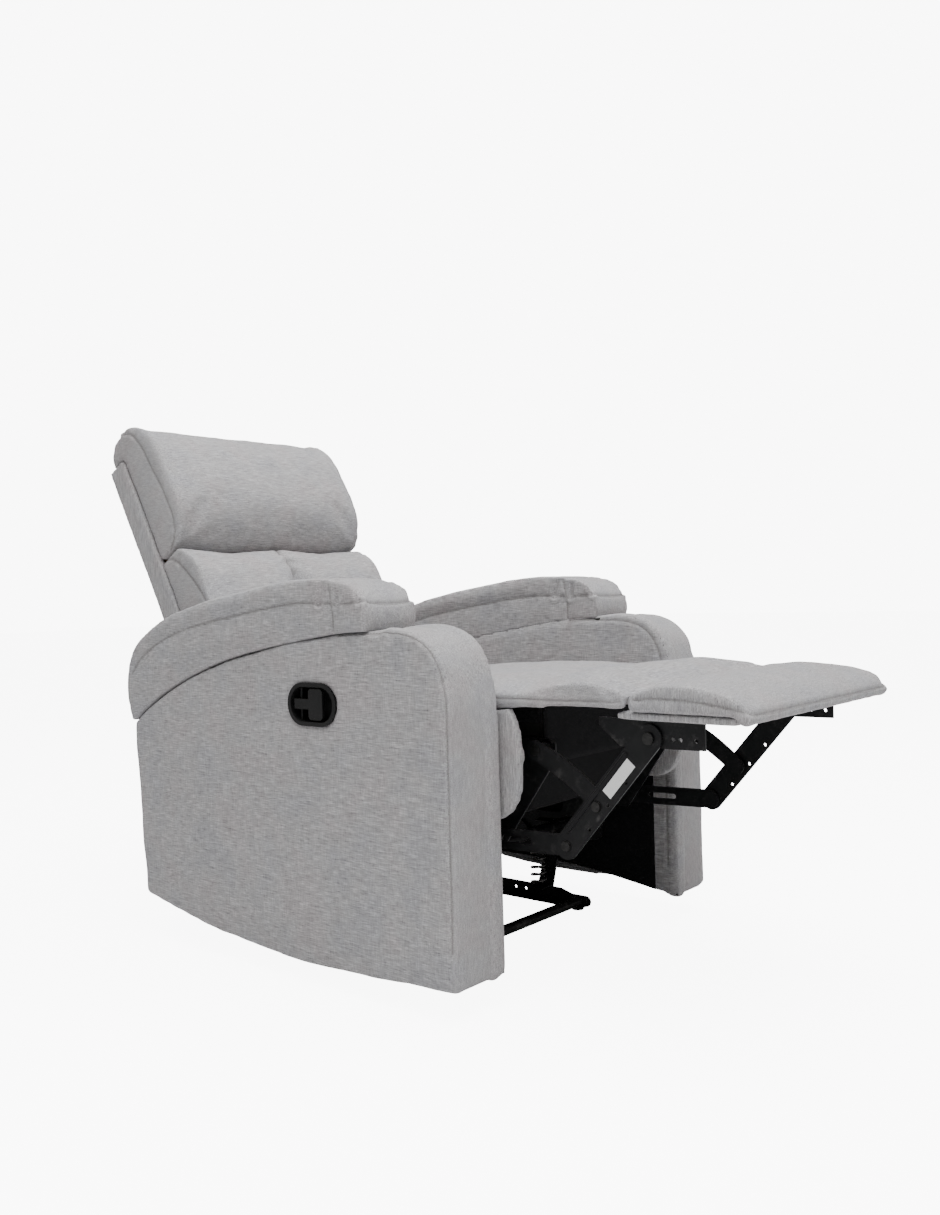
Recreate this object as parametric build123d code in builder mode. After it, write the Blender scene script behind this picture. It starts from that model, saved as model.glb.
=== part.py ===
from build123d import *
from math import cos, radians, sin
import os

# Rocker recliner armchair, shown open: footrest out and back leaning. Millimetres.
# +Z up, the sitter faces -Y, +X is the sitter's left. Side profiles are drawn in (y, z) planes whose
# origin is on the floor below the arms' front faces, so y grows towards the back of the chair.

os.makedirs("parts", exist_ok=True)

# ---- driving dimensions -------------------------------------------------------------------------
WIDTH = 780.0                 # over the two arms
ARM_THICK = 123.0             # outer face to inner face of one arm
ARM_LENGTH = 796.0            # arm front to arm back, at the bottom
ARM_BOTTOM = 33.0             # lowest point of the arm's curved lower edge above the floor
ARM_SHOULDER = 592.0          # top of the arm's rounded front hump
ARM_REAR_HEIGHT = 414.0       # where the pillow meets the arm's rear edge
ARM_FRONT = -330.4            # row-frame Y of the arms' front faces
PILLOW_PROUD = 4.0            # armrest pillow stands out past the arm's outer face
PILLOW_TOP = 682.0

RECLINE_ANGLE = 29.5          # back from vertical, at rest
BACK_PIVOT = (760.0, 420.0)   # recline pin, (y, z)
BACK_HEIGHT = 648.0           # along the back, above the recline pin
BACK_HALF = 262.0             # half the back's width

SEAT_FRONT = -33.0            # front of the seat cushion
SEAT_REAR = 668.0
SEAT_EDGE_TOP = 498.0         # seat cushion's side seam at the front
SEAT_BASE = 468.0             # underside of the seat cushion at the front
SEAT_SLOPE = 5.0              # degrees, falling to the rear
SEAT_HALF = 261.0
SEAT_CROWN = 14.0

FOLD_AXIS = (-31.0, 466.0)    # where the bridge pad folds down at the seat's front edge
BRIDGE_FRONT = -226.0         # crease between bridge pad and footrest pad
FOOTREST_FRONT = -419.0
BOARD_THICK = 12.0
BOARD_TOP = 470.0
PAD_EDGE = 480.0              # footrest pad's seam height
PAD_TOP = 510.0

SIDE_GAP = 0.5                # between a moving layer and its neighbour
SOFT_GAP = 0.4                # between soft pieces of different bodies
PIN_FIT = 0.05                # radial running clearance of a pin in its hole

PLATE = 4.0                   # steel plate
RAIL_HALF = 246.0             # outer face of a floor rail's upright flange
RAIL_FRONT = 196.0
RAIL_REAR = 640.0
GLIDE_HEIGHT = 4.0
RAIL_HEIGHT = 30.0
RAIL_WALL = 3.0
TUBE_R = 10.0
ROCK_PIVOT = (400.0, 140.0)
ROCK_PIN_R = 8.0

MECH_INNER = 254.0            # inner face of the chair's mechanism plates
LINK_PIN_R = 5.0
LINK_HALF_WIDTH = 21.0
LAYER_GUIDE = 221.0           # inner face of the guide links
LAYER_DRIVE = 226.5           # inner face of the drive links and the footrest brackets
LAYER_LONG = 232.0            # inner face of the long links
SEAT_PLATE = 188.0            # inner face of the steel seat side plates

LINK_TOP = (-248.0, 431.0)    # long link's pin on the footrest bracket
LINK_LOW = (-98.0, 256.0)     # long link's lower end, meets the drive link
LINK_MID_SHARE = 0.62         # guide link meets the long link this far down it
DRIVE_PIVOT = (86.3, 249.7)   # drive link's pin on the seat plate
GUIDE_PIVOT = (-34.6, 397.9)  # guide link's pin on the seat plate

CUP_CENTRE = (300.0, 471.0)   # release handle cup in the right arm
CUP_LENGTH = 116.0
CUP_HEIGHT = 72.0
CUP_DEPTH = 42.0
CUP_RIM = 3.0
PADDLE_AXIS_Y = 336.0
PADDLE_AXIS_X = -380.0
PADDLE_ROD_R = 2.5
PADDLE_ROD_HALF = 27.0

SIDE = Plane(origin=(0, ARM_FRONT, 0), x_dir=(0, 1, 0), z_dir=(1, 0, 0))
BACK = Plane(
    origin=(0, ARM_FRONT + BACK_PIVOT[0], BACK_PIVOT[1]),
    x_dir=(0, cos(radians(RECLINE_ANGLE)), -sin(radians(RECLINE_ANGLE))),
    z_dir=(1, 0, 0),
)
ARM_OUTER = WIDTH / 2
ARM_INNER = ARM_OUTER - ARM_THICK
LINK_MID = tuple(t + LINK_MID_SHARE * (b - t) for t, b in zip(LINK_TOP, LINK_LOW))
SIDES = (("left", 1), ("right", -1))


def side(x):
    """Side-view plane at x. Sketch coordinates are (y from the arm front, z)."""
    return SIDE.offset(x)


def back(x):
    """Plane at x that leans with the back: (rearward through the back, up along it)."""
    return BACK.offset(x)


def place(x, y, z):
    """Point in the row frame from side-view coordinates."""
    return (x, ARM_FRONT + y, z)


def deck(y, lift=0.0):
    """Height of the sloping seat deck at y."""
    return SEAT_BASE - (y - SEAT_FRONT) * sin(radians(SEAT_SLOPE)) + lift


def write(piece, name):
    piece.part.label = name
    export_step(piece.part, f"parts/{name}.step")


# ---- floor base ---------------------------------------------------------------------------------
GLIDE_SPOTS = [RAIL_FRONT + 14, RAIL_REAR - 20]
FLANGE_X = RAIL_HALF - 12

with BuildPart() as floor_glides:
    for y in GLIDE_SPOTS:
        with BuildSketch(Plane.XY):
            with Locations((FLANGE_X, ARM_FRONT + y)):
                Circle(12)
        extrude(amount=GLIDE_HEIGHT)
    mirror(about=Plane.YZ)
write(floor_glides, "floor_glides")

RAIL_HOLES = (291.0, 349.0, 376.0, 540.0)
with BuildPart() as floor_rails:
    with BuildSketch(side(RAIL_HALF - RAIL_WALL)):
        with BuildLine():
            Polyline(
                (RAIL_FRONT + 30, GLIDE_HEIGHT),
                (RAIL_REAR, GLIDE_HEIGHT),
                (RAIL_REAR, RAIL_HEIGHT + GLIDE_HEIGHT),
                (RAIL_FRONT + 62, RAIL_HEIGHT + GLIDE_HEIGHT),
                (RAIL_FRONT + 34, 26),
                (RAIL_FRONT, 26),
            )
            RadiusArc((RAIL_FRONT, 26), (RAIL_FRONT, GLIDE_HEIGHT), -11)
            Line((RAIL_FRONT, GLIDE_HEIGHT), (RAIL_FRONT + 30, GLIDE_HEIGHT))
        make_face()
        with Locations(*[(y, 20) for y in RAIL_HOLES]):
            Circle(3.5, mode=Mode.SUBTRACT)
    extrude(amount=RAIL_WALL)
    with BuildSketch(Plane.XY.offset(GLIDE_HEIGHT)):
        with Locations((FLANGE_X, ARM_FRONT + (RAIL_FRONT + RAIL_REAR) / 2)):
            Rectangle(24, RAIL_REAR - RAIL_FRONT)
    extrude(amount=RAIL_WALL)
    mirror(about=Plane.YZ)
write(floor_rails, "floor_rails")

TUBE_Z = GLIDE_HEIGHT + RAIL_WALL + TUBE_R
with BuildPart() as base_cross_tubes:
    for y in (RAIL_FRONT + 12, RAIL_REAR - 40):
        with BuildSketch(side(RAIL_WALL - RAIL_HALF)):
            with Locations((y, TUBE_Z)):
                Circle(TUBE_R)
                Circle(TUBE_R - 1.5, mode=Mode.SUBTRACT)
        extrude(amount=2 * (RAIL_HALF - RAIL_WALL))
write(base_cross_tubes, "base_cross_tubes")

STAND_TOP = ROCK_PIVOT[1] + 24
with BuildPart() as rocker_stands:
    with BuildSketch(side(RAIL_HALF)):
        with BuildLine():
            Polyline(
                (286, 8),
                (326, 8),
                (305, 84),
                (352, 112),
                (448, 112),
                (495, 84),
                (474, 8),
                (514, 8),
                (532, 92),
                (440, STAND_TOP),
                (360, STAND_TOP),
                (268, 92),
                close=True,
            )
        make_face()
        with Locations(ROCK_PIVOT):
            Circle(ROCK_PIN_R, mode=Mode.SUBTRACT)
    extrude(amount=PLATE)
    mirror(about=Plane.YZ)
write(rocker_stands, "rocker_stands")

PIN_END = MECH_INNER + PLATE + SIDE_GAP
with BuildPart() as rocker_pins:
    with BuildSketch(side(RAIL_HALF - 3)):
        with Locations(ROCK_PIVOT):
            Circle(ROCK_PIN_R + 5)
    extrude(amount=3)
    with BuildSketch(side(RAIL_HALF)):
        with Locations(ROCK_PIVOT):
            Circle(ROCK_PIN_R)
    extrude(amount=PIN_END - RAIL_HALF)
    with BuildSketch(side(PIN_END)):
        with Locations(ROCK_PIVOT):
            Circle(ROCK_PIN_R + 5)
    extrude(amount=4)
    mirror(about=Plane.YZ)
write(rocker_pins, "rocker_pins")

STAND_BOLTS = ((300.0, 20.0), (500.0, 20.0))
with BuildPart() as stand_bolts:
    for spot in STAND_BOLTS:
        with BuildSketch(side(RAIL_HALF + PLATE)):
            with Locations(spot):
                RegularPolygon(5.5, 6)
        extrude(amount=4)
    mirror(about=Plane.YZ)
write(stand_bolts, "stand_bolts")

# Coil springs between the stands' shelves and the mechanism plates, drawn as wire rings on a pitch.
SPRING_R = 15.0
SPRING_WIRE = 2.6
SPRING_SPOTS = (300.0, 500.0)
SPRING_X = 225.0
SPRING_LOW = 38.0
SPRING_HIGH = 134.0
SPRING_TURNS = 6

with BuildPart() as spring_seats:
    for y in SPRING_SPOTS:
        with BuildSketch(Plane.XY.offset(SPRING_LOW - 4)):
            with Locations((SPRING_X, ARM_FRONT + y)):
                Rectangle(2 * (RAIL_HALF - RAIL_WALL - SPRING_X), 40)
        extrude(amount=3)
        with BuildSketch(side(RAIL_HALF - RAIL_WALL)):
            with Locations((y, (SPRING_LOW - 4 + GLIDE_HEIGHT + RAIL_WALL) / 2)):
                Rectangle(30, SPRING_LOW - 4 - GLIDE_HEIGHT - RAIL_WALL)
        extrude(amount=-3)
    mirror(about=Plane.YZ)
write(spring_seats, "spring_seats")

with BuildPart() as rocker_springs:
    pitch = (SPRING_HIGH - SPRING_LOW - 2 * SPRING_WIRE) / SPRING_TURNS
    for y in SPRING_SPOTS:
        start = place(SPRING_X, y, SPRING_LOW + SPRING_WIRE - 0.8)
        with BuildLine():
            coil = Helix(
                pitch=pitch, height=pitch * SPRING_TURNS, radius=SPRING_R, center=start
            )
        with BuildSketch(Plane(origin=coil @ 0, z_dir=coil % 0)):
            Circle(SPRING_WIRE)
        sweep(path=coil, is_frenet=True)
    mirror(about=Plane.YZ)
write(rocker_springs, "rocker_springs")

# ---- chair body: mechanism plates, tubes, channels ----------------------------------------------
MECH_TOP = 262.0
MECH_LOW = 98.0
MECH_FRONT = 160.0
MECH_REAR = 660.0
ARM_BOLTS = ((190.0, 225.0), (620.0, 225.0), (190.0, 165.0), (620.0, 165.0))
CROSS_TUBES = ((238.0, 172.0), (585.0, 172.0))
CROSS_R = 11.0

with BuildPart() as mechanism_plates:
    with BuildSketch(side(MECH_INNER)) as mech_profile:
        with BuildLine():
            Polyline(
                (MECH_FRONT, MECH_TOP),
                (MECH_REAR, MECH_TOP),
                (MECH_REAR, 150),
                (MECH_REAR - 40, 140),
                (470, 140),
                (440, MECH_LOW + 8),
                (360, MECH_LOW + 8),
                (330, 140),
                (MECH_FRONT + 20, 140),
                (MECH_FRONT, 150),
                close=True,
            )
        make_face()
        fillet(mech_profile.vertices(), 7)
        with Locations(ROCK_PIVOT):
            Circle(ROCK_PIN_R + PIN_FIT, mode=Mode.SUBTRACT)
        with Locations(*ARM_BOLTS):
            Circle(4, mode=Mode.SUBTRACT)
        with Locations((300, 205), (500, 205)):
            SlotOverall(90, 34, mode=Mode.SUBTRACT)
    extrude(amount=PLATE)
    mirror(about=Plane.YZ)
write(mechanism_plates, "mechanism_plates")

# Stepped over the rocker stands, so the stands can swing between the two upright walls.
BRACKET_LIP = SPRING_X - SPRING_R - 3
RISER_OUT = RAIL_HALF - 2.5
with BuildPart() as spring_brackets:
    for y in SPRING_SPOTS:
        with BuildSketch(Plane.XY.offset(SPRING_HIGH)):
            with Locations(((BRACKET_LIP + RISER_OUT) / 2, ARM_FRONT + y)):
                Rectangle(RISER_OUT - BRACKET_LIP, 40)
        extrude(amount=3)
        with BuildSketch(side(RISER_OUT)):
            with Locations((y, SPRING_HIGH + 18)):
                Rectangle(40, 36)
        extrude(amount=-3)
        with BuildSketch(Plane.XY.offset(SPRING_HIGH + 33)):
            with Locations(((RISER_OUT + MECH_INNER) / 2 - 3, ARM_FRONT + y)):
                Rectangle(MECH_INNER - RISER_OUT + 6, 40)
        extrude(amount=3)
        with BuildSketch(side(MECH_INNER)):
            with Locations((y, SPRING_HIGH + 18)):
                Rectangle(40, 36)
        extrude(amount=-3)
    mirror(about=Plane.YZ)
write(spring_brackets, "spring_brackets")

with BuildPart() as plate_spacers:
    for spot in ARM_BOLTS:
        with BuildSketch(side(MECH_INNER + PLATE)):
            with Locations(spot):
                Circle(10)
                Circle(4, mode=Mode.SUBTRACT)
        extrude(amount=ARM_INNER - MECH_INNER - PLATE)
    mirror(about=Plane.YZ)
write(plate_spacers, "plate_spacers")

with BuildPart() as arm_bolts:
    for spot in ARM_BOLTS:
        with BuildSketch(side(MECH_INNER)):
            with Locations(spot):
                RegularPolygon(6.5, 6)
        extrude(amount=-5)
        with BuildSketch(side(MECH_INNER)):
            with Locations(spot):
                Circle(4)
        extrude(amount=ARM_INNER - MECH_INNER)
    mirror(about=Plane.YZ)
write(arm_bolts, "arm_bolts")

with BuildPart() as mechanism_cross_tubes:
    for spot in CROSS_TUBES:
        with BuildSketch(side(-MECH_INNER)):
            with Locations(spot):
                Circle(CROSS_R)
                Circle(CROSS_R - 1.8, mode=Mode.SUBTRACT)
        extrude(amount=2 * MECH_INNER)
write(mechanism_cross_tubes, "mechanism_cross_tubes")

CHANNEL_FRONT = 272.0
CHANNEL_REAR = 650.0
CHANNEL_IN = 228.0
CHANNEL_OUT = 250.0
CHANNEL_FLOOR = 256.0
CHANNEL_TOP = 272.0
CHANNEL_WALL = 2.0
with BuildPart() as glide_channels:
    channel_length = CHANNEL_REAR - CHANNEL_FRONT
    channel_plane = Plane(
        origin=place(0, CHANNEL_FRONT, CHANNEL_FLOOR), x_dir=(1, 0, 0), z_dir=(0, -1, 0)
    )
    with BuildSketch(channel_plane):
        with BuildLine():
            Polyline(
                (MECH_INNER, 0),
                (MECH_INNER, CHANNEL_WALL),
                (CHANNEL_OUT, CHANNEL_WALL),
                (CHANNEL_OUT, CHANNEL_TOP - CHANNEL_FLOOR),
                (CHANNEL_OUT - CHANNEL_WALL, CHANNEL_TOP - CHANNEL_FLOOR),
                (CHANNEL_OUT - CHANNEL_WALL, CHANNEL_WALL),
                (CHANNEL_IN + CHANNEL_WALL, CHANNEL_WALL),
                (CHANNEL_IN + CHANNEL_WALL, CHANNEL_TOP - CHANNEL_FLOOR),
                (CHANNEL_IN, CHANNEL_TOP - CHANNEL_FLOOR),
                (CHANNEL_IN, 0),
                close=True,
            )
        make_face()
    extrude(amount=-channel_length)
    mirror(about=Plane.YZ)
write(glide_channels, "glide_channels")

REAR_RAIL_Y = 756.0
with BuildPart() as rear_rail:
    with BuildSketch(side(-ARM_INNER)):
        with Locations((REAR_RAIL_Y, 180)):
            Rectangle(24, 120)
    extrude(amount=2 * ARM_INNER)
write(rear_rail, "rear_rail")

# ---- arms ---------------------------------------------------------------------------------------
ARM_LOWER_EDGE = (
    (1, 48),
    (180, ARM_BOTTOM + 4),
    (370, ARM_BOTTOM),
    (585, ARM_BOTTOM + 15),
    (ARM_LENGTH, 82),
)
ARM_REAR_TOP = (ARM_LENGTH + 24, ARM_REAR_HEIGHT)
ARM_UPPER_EDGE = (
    ARM_REAR_TOP,
    (730, 470),
    (634, 509),
    (544, 537),
    (432, 560),
    (328, 576),
    (247, 587),
    (172, 591),
)
ARM_HUMP = (
    (172, 591),
    (112, ARM_SHOULDER + 4),
    (57, 582),
    (22, 546),
    (6, 490),
    (4, 420),
)


LINING_LOWER_EDGE = (
    (1, 51),
    (98, 65),
    (200, 78),
    (500, 84),
    (ARM_LENGTH, 104),
)


def draw_arm_outline(lower_edge=ARM_LOWER_EDGE):
    """The arm's side outline: curved lower edge, leaning rear edge, falling top, rounded front."""
    Spline(*lower_edge)
    Line(lower_edge[-1], ARM_REAR_TOP)
    Spline(*ARM_UPPER_EDGE)
    Spline(*ARM_HUMP, tangents=((-1, 0.12), (0, -1)))
    Line(ARM_HUMP[-1], lower_edge[0])


ARM_SKIN = 20.0               # padded skin round the arm's hollow core
ARM_CORE = (
    (ARM_LOWER_EDGE[0][0] + ARM_SKIN + 5, 0),
    (ARM_LENGTH - ARM_SKIN - 4, 0),
    (ARM_REAR_TOP[0] - ARM_SKIN, ARM_REAR_TOP[1] - ARM_SKIN),
    (ARM_UPPER_EDGE[2][0], ARM_UPPER_EDGE[2][1] - ARM_SKIN),
    (ARM_UPPER_EDGE[4][0], ARM_UPPER_EDGE[4][1] - ARM_SKIN),
    (ARM_UPPER_EDGE[7][0], ARM_UPPER_EDGE[7][1] - ARM_SKIN),
    (ARM_HUMP[2][0], ARM_HUMP[2][1] - ARM_SKIN),
    (ARM_HUMP[4][0] + ARM_SKIN, ARM_HUMP[4][1]),
)
ARM_BOARD = 12.0
LINING = 5.0
CORE_INNER = ARM_INNER + LINING + ARM_BOARD
CUP_HOLE_GAP = 0.2
CABLE_R = 3.0
CABLE_EXIT = (356.0, 236.0)   # where the release cable leaves the arm's inner face

for name, s in SIDES:
    with BuildPart() as arm_cover:
        with BuildSketch(side(s * CORE_INNER)):
            with BuildLine():
                draw_arm_outline()
            make_face()
        extrude(amount=s * (ARM_OUTER - CORE_INNER))
        outer_edges = arm_cover.faces().sort_by(Axis.X)[-1 if s > 0 else 0].edges()
        fillet(outer_edges, 9)
        with BuildSketch(side(s * CORE_INNER)):
            with BuildLine():
                Polyline(*ARM_CORE, close=True)
            make_face()
        extrude(amount=s * (ARM_OUTER - ARM_SKIN - CORE_INNER), mode=Mode.SUBTRACT)
        if name == "right":
            with BuildSketch(side(-ARM_OUTER)):
                with Locations(CUP_CENTRE):
                    SlotOverall(CUP_LENGTH - 8 + 2 * CUP_HOLE_GAP, CUP_HEIGHT - 8 + 2 * CUP_HOLE_GAP)
            extrude(amount=ARM_SKIN + 1, mode=Mode.SUBTRACT)
    write(arm_cover, f"arm_cover_{name}")

    with BuildPart() as arm_frame:
        with BuildSketch(side(s * (ARM_INNER + LINING))):
            with BuildLine():
                draw_arm_outline(LINING_LOWER_EDGE)
            make_face()
            if name == "right":
                with Locations(CABLE_EXIT):
                    Circle(CABLE_R + 1, mode=Mode.SUBTRACT)
        extrude(amount=s * ARM_BOARD)
    write(arm_frame, f"arm_frame_{name}")

    with BuildPart() as arm_lining:
        with BuildSketch(side(s * ARM_INNER)):
            with BuildLine():
                draw_arm_outline(LINING_LOWER_EDGE)
            make_face()
            if name == "right":
                with Locations(CABLE_EXIT):
                    Circle(CABLE_R + 1, mode=Mode.SUBTRACT)
        extrude(amount=s * LINING)
    write(arm_lining, f"arm_lining_{name}")

    with BuildPart() as arm_pillow:
        with BuildSketch(side(s * (ARM_INNER + 2))):
            with BuildLine():
                Spline(*[(y, z + SOFT_GAP) for y, z in ARM_UPPER_EDGE])
                Spline(
                    (ARM_REAR_TOP[0], ARM_REAR_TOP[1] + SOFT_GAP),
                    (838, 470),
                    (818, 552),
                    (744, 605),
                    (617, 643),
                    (500, 661),
                    (391, 676),
                    (302, PILLOW_TOP),
                    (242, 677),
                    (196, 663),
                    (172, 635),
                    (172, 591 + SOFT_GAP),
                )
            make_face()
        extrude(amount=s * (ARM_THICK - 2 + PILLOW_PROUD))
    write(arm_pillow, f"arm_pillow_{name}")

# ---- release handle, cable and latch ------------------------------------------------------------
cup_left_y = CUP_CENTRE[0] - CUP_LENGTH / 2
with BuildPart() as handle_cup:
    with BuildSketch(side(-ARM_OUTER)):
        with Locations(CUP_CENTRE):
            SlotOverall(CUP_LENGTH, CUP_HEIGHT)
    extrude(amount=-CUP_RIM)
    with BuildSketch(side(-ARM_OUTER)):
        with Locations(CUP_CENTRE):
            SlotOverall(CUP_LENGTH - 8, CUP_HEIGHT - 8)
    extrude(amount=CUP_DEPTH)
    with BuildSketch(side(-ARM_OUTER - CUP_RIM)):
        with Locations(CUP_CENTRE):
            SlotOverall(CUP_LENGTH - 14, CUP_HEIGHT - 14)
    extrude(amount=CUP_DEPTH, mode=Mode.SUBTRACT)
    with BuildSketch(Plane.XY.offset(CUP_CENTRE[1] - PADDLE_ROD_HALF)):
        with Locations((PADDLE_AXIS_X, ARM_FRONT + PADDLE_AXIS_Y)):
            Circle(PADDLE_ROD_R)
    extrude(amount=2 * PADDLE_ROD_HALF)
write(handle_cup, "handle_cup")

PADDLE_FRONT = 276.0
with BuildPart() as release_paddle:
    with BuildSketch(side(-ARM_OUTER)):
        with Locations((PADDLE_FRONT + 17, CUP_CENTRE[1])):
            RectangleRounded(34, 52, 7)
        with Locations((PADDLE_AXIS_Y - 14, CUP_CENTRE[1])):
            Rectangle(44, 17)
    extrude(amount=6)
    with BuildSketch(Plane.XY.offset(CUP_CENTRE[1] - 8.5)):
        with Locations((PADDLE_AXIS_X, ARM_FRONT + PADDLE_AXIS_Y)):
            Circle(7)
    extrude(amount=17)
    with BuildSketch(Plane.XY.offset(CUP_CENTRE[1] - 8.5)):
        with Locations((PADDLE_AXIS_X, ARM_FRONT + PADDLE_AXIS_Y)):
            Circle(PADDLE_ROD_R + PIN_FIT)
    extrude(amount=17, mode=Mode.SUBTRACT)
write(release_paddle, "release_paddle")

CABLE_START = (-ARM_OUTER + CUP_DEPTH, 326.0, CUP_CENTRE[1])
CABLE_POINTS = (
    CABLE_START,
    (CABLE_START[0] + 32, 326.0, CUP_CENTRE[1]),
    (CABLE_START[0] + 36, 338.0, 400.0),
    (CABLE_START[0] + 34, 347.0, 320.0),
    (CABLE_START[0] + 40, CABLE_EXIT[0], CABLE_EXIT[1]),
    (-MECH_INNER - PLATE, CABLE_EXIT[0], CABLE_EXIT[1]),
)
cable_route = [Vector(*place(*p)) for p in CABLE_POINTS]
cable_radii = []
for before, here, after in zip(cable_route, cable_route[1:], cable_route[2:]):
    turn = (here - before).get_angle(after - here)
    shorter = min((here - before).length, (after - here).length)
    cable_radii.append(0.45 * shorter / max(sin(radians(turn / 2)) / cos(radians(turn / 2)), 0.01))
print("release cable arc radii", [round(r) for r in cable_radii])
with BuildPart() as release_cable:
    with BuildLine():
        cable_path = FilletPolyline(*cable_route, radius=cable_radii)
    with BuildSketch(Plane(origin=cable_path @ 0, z_dir=cable_path % 0)):
        Circle(CABLE_R)
    sweep(path=cable_path)
write(release_cable, "release_cable")

LATCH_PIVOT = (330.0, 236.0)
LATCH_X = MECH_INNER - SIDE_GAP - PLATE
with BuildPart() as latch_pin:
    with BuildSketch(side(-MECH_INNER)):
        with Locations(LATCH_PIVOT):
            Circle(4)
    extrude(amount=PLATE + 2 * SIDE_GAP)
    with BuildSketch(side(-LATCH_X + SIDE_GAP)):
        with Locations(LATCH_PIVOT):
            Circle(7)
    extrude(amount=2)
write(latch_pin, "latch_pin")

with BuildPart() as latch_pawl:
    with BuildSketch(side(-LATCH_X - PLATE)):
        with BuildLine():
            Polyline(
                (322, 228),
                (338, 228),
                (372, 240),
                (374, 254),
                (362, 254),
                (358, 248),
                (338, 246),
                (322, 244),
                close=True,
            )
        make_face()
        with Locations(LATCH_PIVOT):
            Circle(4 + PIN_FIT, mode=Mode.SUBTRACT)
    extrude(amount=PLATE)
write(latch_pawl, "latch_pawl")

# ---- seat ---------------------------------------------------------------------------------------
FRAME_OUT = SEAT_PLATE
FRAME_RAIL = 22.0
FRAME_DEPTH = 62.0
FRAME_FRONT = -22.0
FRAME_REAR = 640.0


def sloped_box(front, rear, top, bottom):
    """Outline that follows the seat slope, between two heights measured from the deck."""
    Polyline(
        (front, deck(front, bottom)),
        (rear, deck(rear, bottom)),
        (rear, deck(rear, top)),
        (front, deck(front, top)),
        close=True,
    )


with BuildPart() as seat_frame:
    with BuildSketch(side(-FRAME_OUT)):
        with BuildLine():
            sloped_box(FRAME_FRONT, FRAME_REAR, -SOFT_GAP, -FRAME_DEPTH - 6)
        make_face()
    extrude(amount=2 * FRAME_OUT)
    with BuildSketch(side(FRAME_RAIL - FRAME_OUT)):
        with BuildLine():
            sloped_box(FRAME_FRONT + FRAME_RAIL, FRAME_REAR - FRAME_RAIL, 4, -FRAME_DEPTH - 16)
        make_face()
    extrude(amount=2 * (FRAME_OUT - FRAME_RAIL), mode=Mode.SUBTRACT)
write(seat_frame, "seat_frame")

WIRE_R = 2.0


def zigzag(length, reach, count):
    """Points of a flat zigzag wire, as distances along the span and to the side."""
    step = length / count
    points = [(0.0, 0.0)]
    for i in range(count):
        points.append(((i + 0.5) * step, reach if i % 2 == 0 else -reach))
    points.append((length, 0.0))
    return points


SEAT_SPRING_X = (-110.0, -37.0, 37.0, 110.0)
with BuildPart() as seat_springs:
    lift = -WIRE_R - SOFT_GAP
    spring_start = FRAME_FRONT + FRAME_RAIL + WIRE_R
    for x in SEAT_SPRING_X:
        run = FRAME_REAR - FRAME_RAIL - WIRE_R - spring_start
        with BuildLine() as wire:
            FilletPolyline(
                *[
                    place(x + across, spring_start + along, deck(spring_start + along, lift))
                    for along, across in zigzag(run, 22, 13)
                ],
                radius=9,
            )
        with BuildSketch(Plane(origin=wire.line @ 0, z_dir=wire.line % 0)):
            Circle(WIRE_R)
        sweep(path=wire.line)
write(seat_springs, "seat_springs")

with BuildPart() as seat_cushion:
    with BuildSketch(side(-SEAT_HALF)) as cushion_profile:
        with BuildLine():
            rise = SEAT_EDGE_TOP - SEAT_BASE
            Polyline(
                (SEAT_FRONT, deck(SEAT_FRONT, rise)),
                (SEAT_FRONT, deck(SEAT_FRONT)),
                (SEAT_REAR, deck(SEAT_REAR)),
                (SEAT_REAR, deck(SEAT_REAR, rise + 12)),
            )
            ThreePointArc(
                (SEAT_REAR, deck(SEAT_REAR, rise + 12)),
                ((SEAT_FRONT + SEAT_REAR) / 2, deck((SEAT_FRONT + SEAT_REAR) / 2, rise + SEAT_CROWN + 10)),
                (SEAT_FRONT, deck(SEAT_FRONT, rise)),
            )
        make_face()
    extrude(amount=2 * SEAT_HALF)
write(seat_cushion, "seat_cushion")

PANEL_IN = 245.0
PANEL_OUT = 261.0
PANEL_LOW = 284.0
PANEL_REAR = 620.0
with BuildPart() as seat_side_panels:
    with BuildSketch(side(PANEL_IN)):
        with BuildLine():
            Spline((-10, deck(-10, -SOFT_GAP)), (-28, 420), (-29, 370), (-20, 320), (30, PANEL_LOW))
            Polyline(
                (30, PANEL_LOW),
                (PANEL_REAR, PANEL_LOW),
                (PANEL_REAR, deck(PANEL_REAR, -SOFT_GAP)),
                (-10, deck(-10, -SOFT_GAP)),
            )
        make_face()
    extrude(amount=PANEL_OUT - PANEL_IN)
    mirror(about=Plane.YZ)
write(seat_side_panels, "seat_side_panels")

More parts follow.
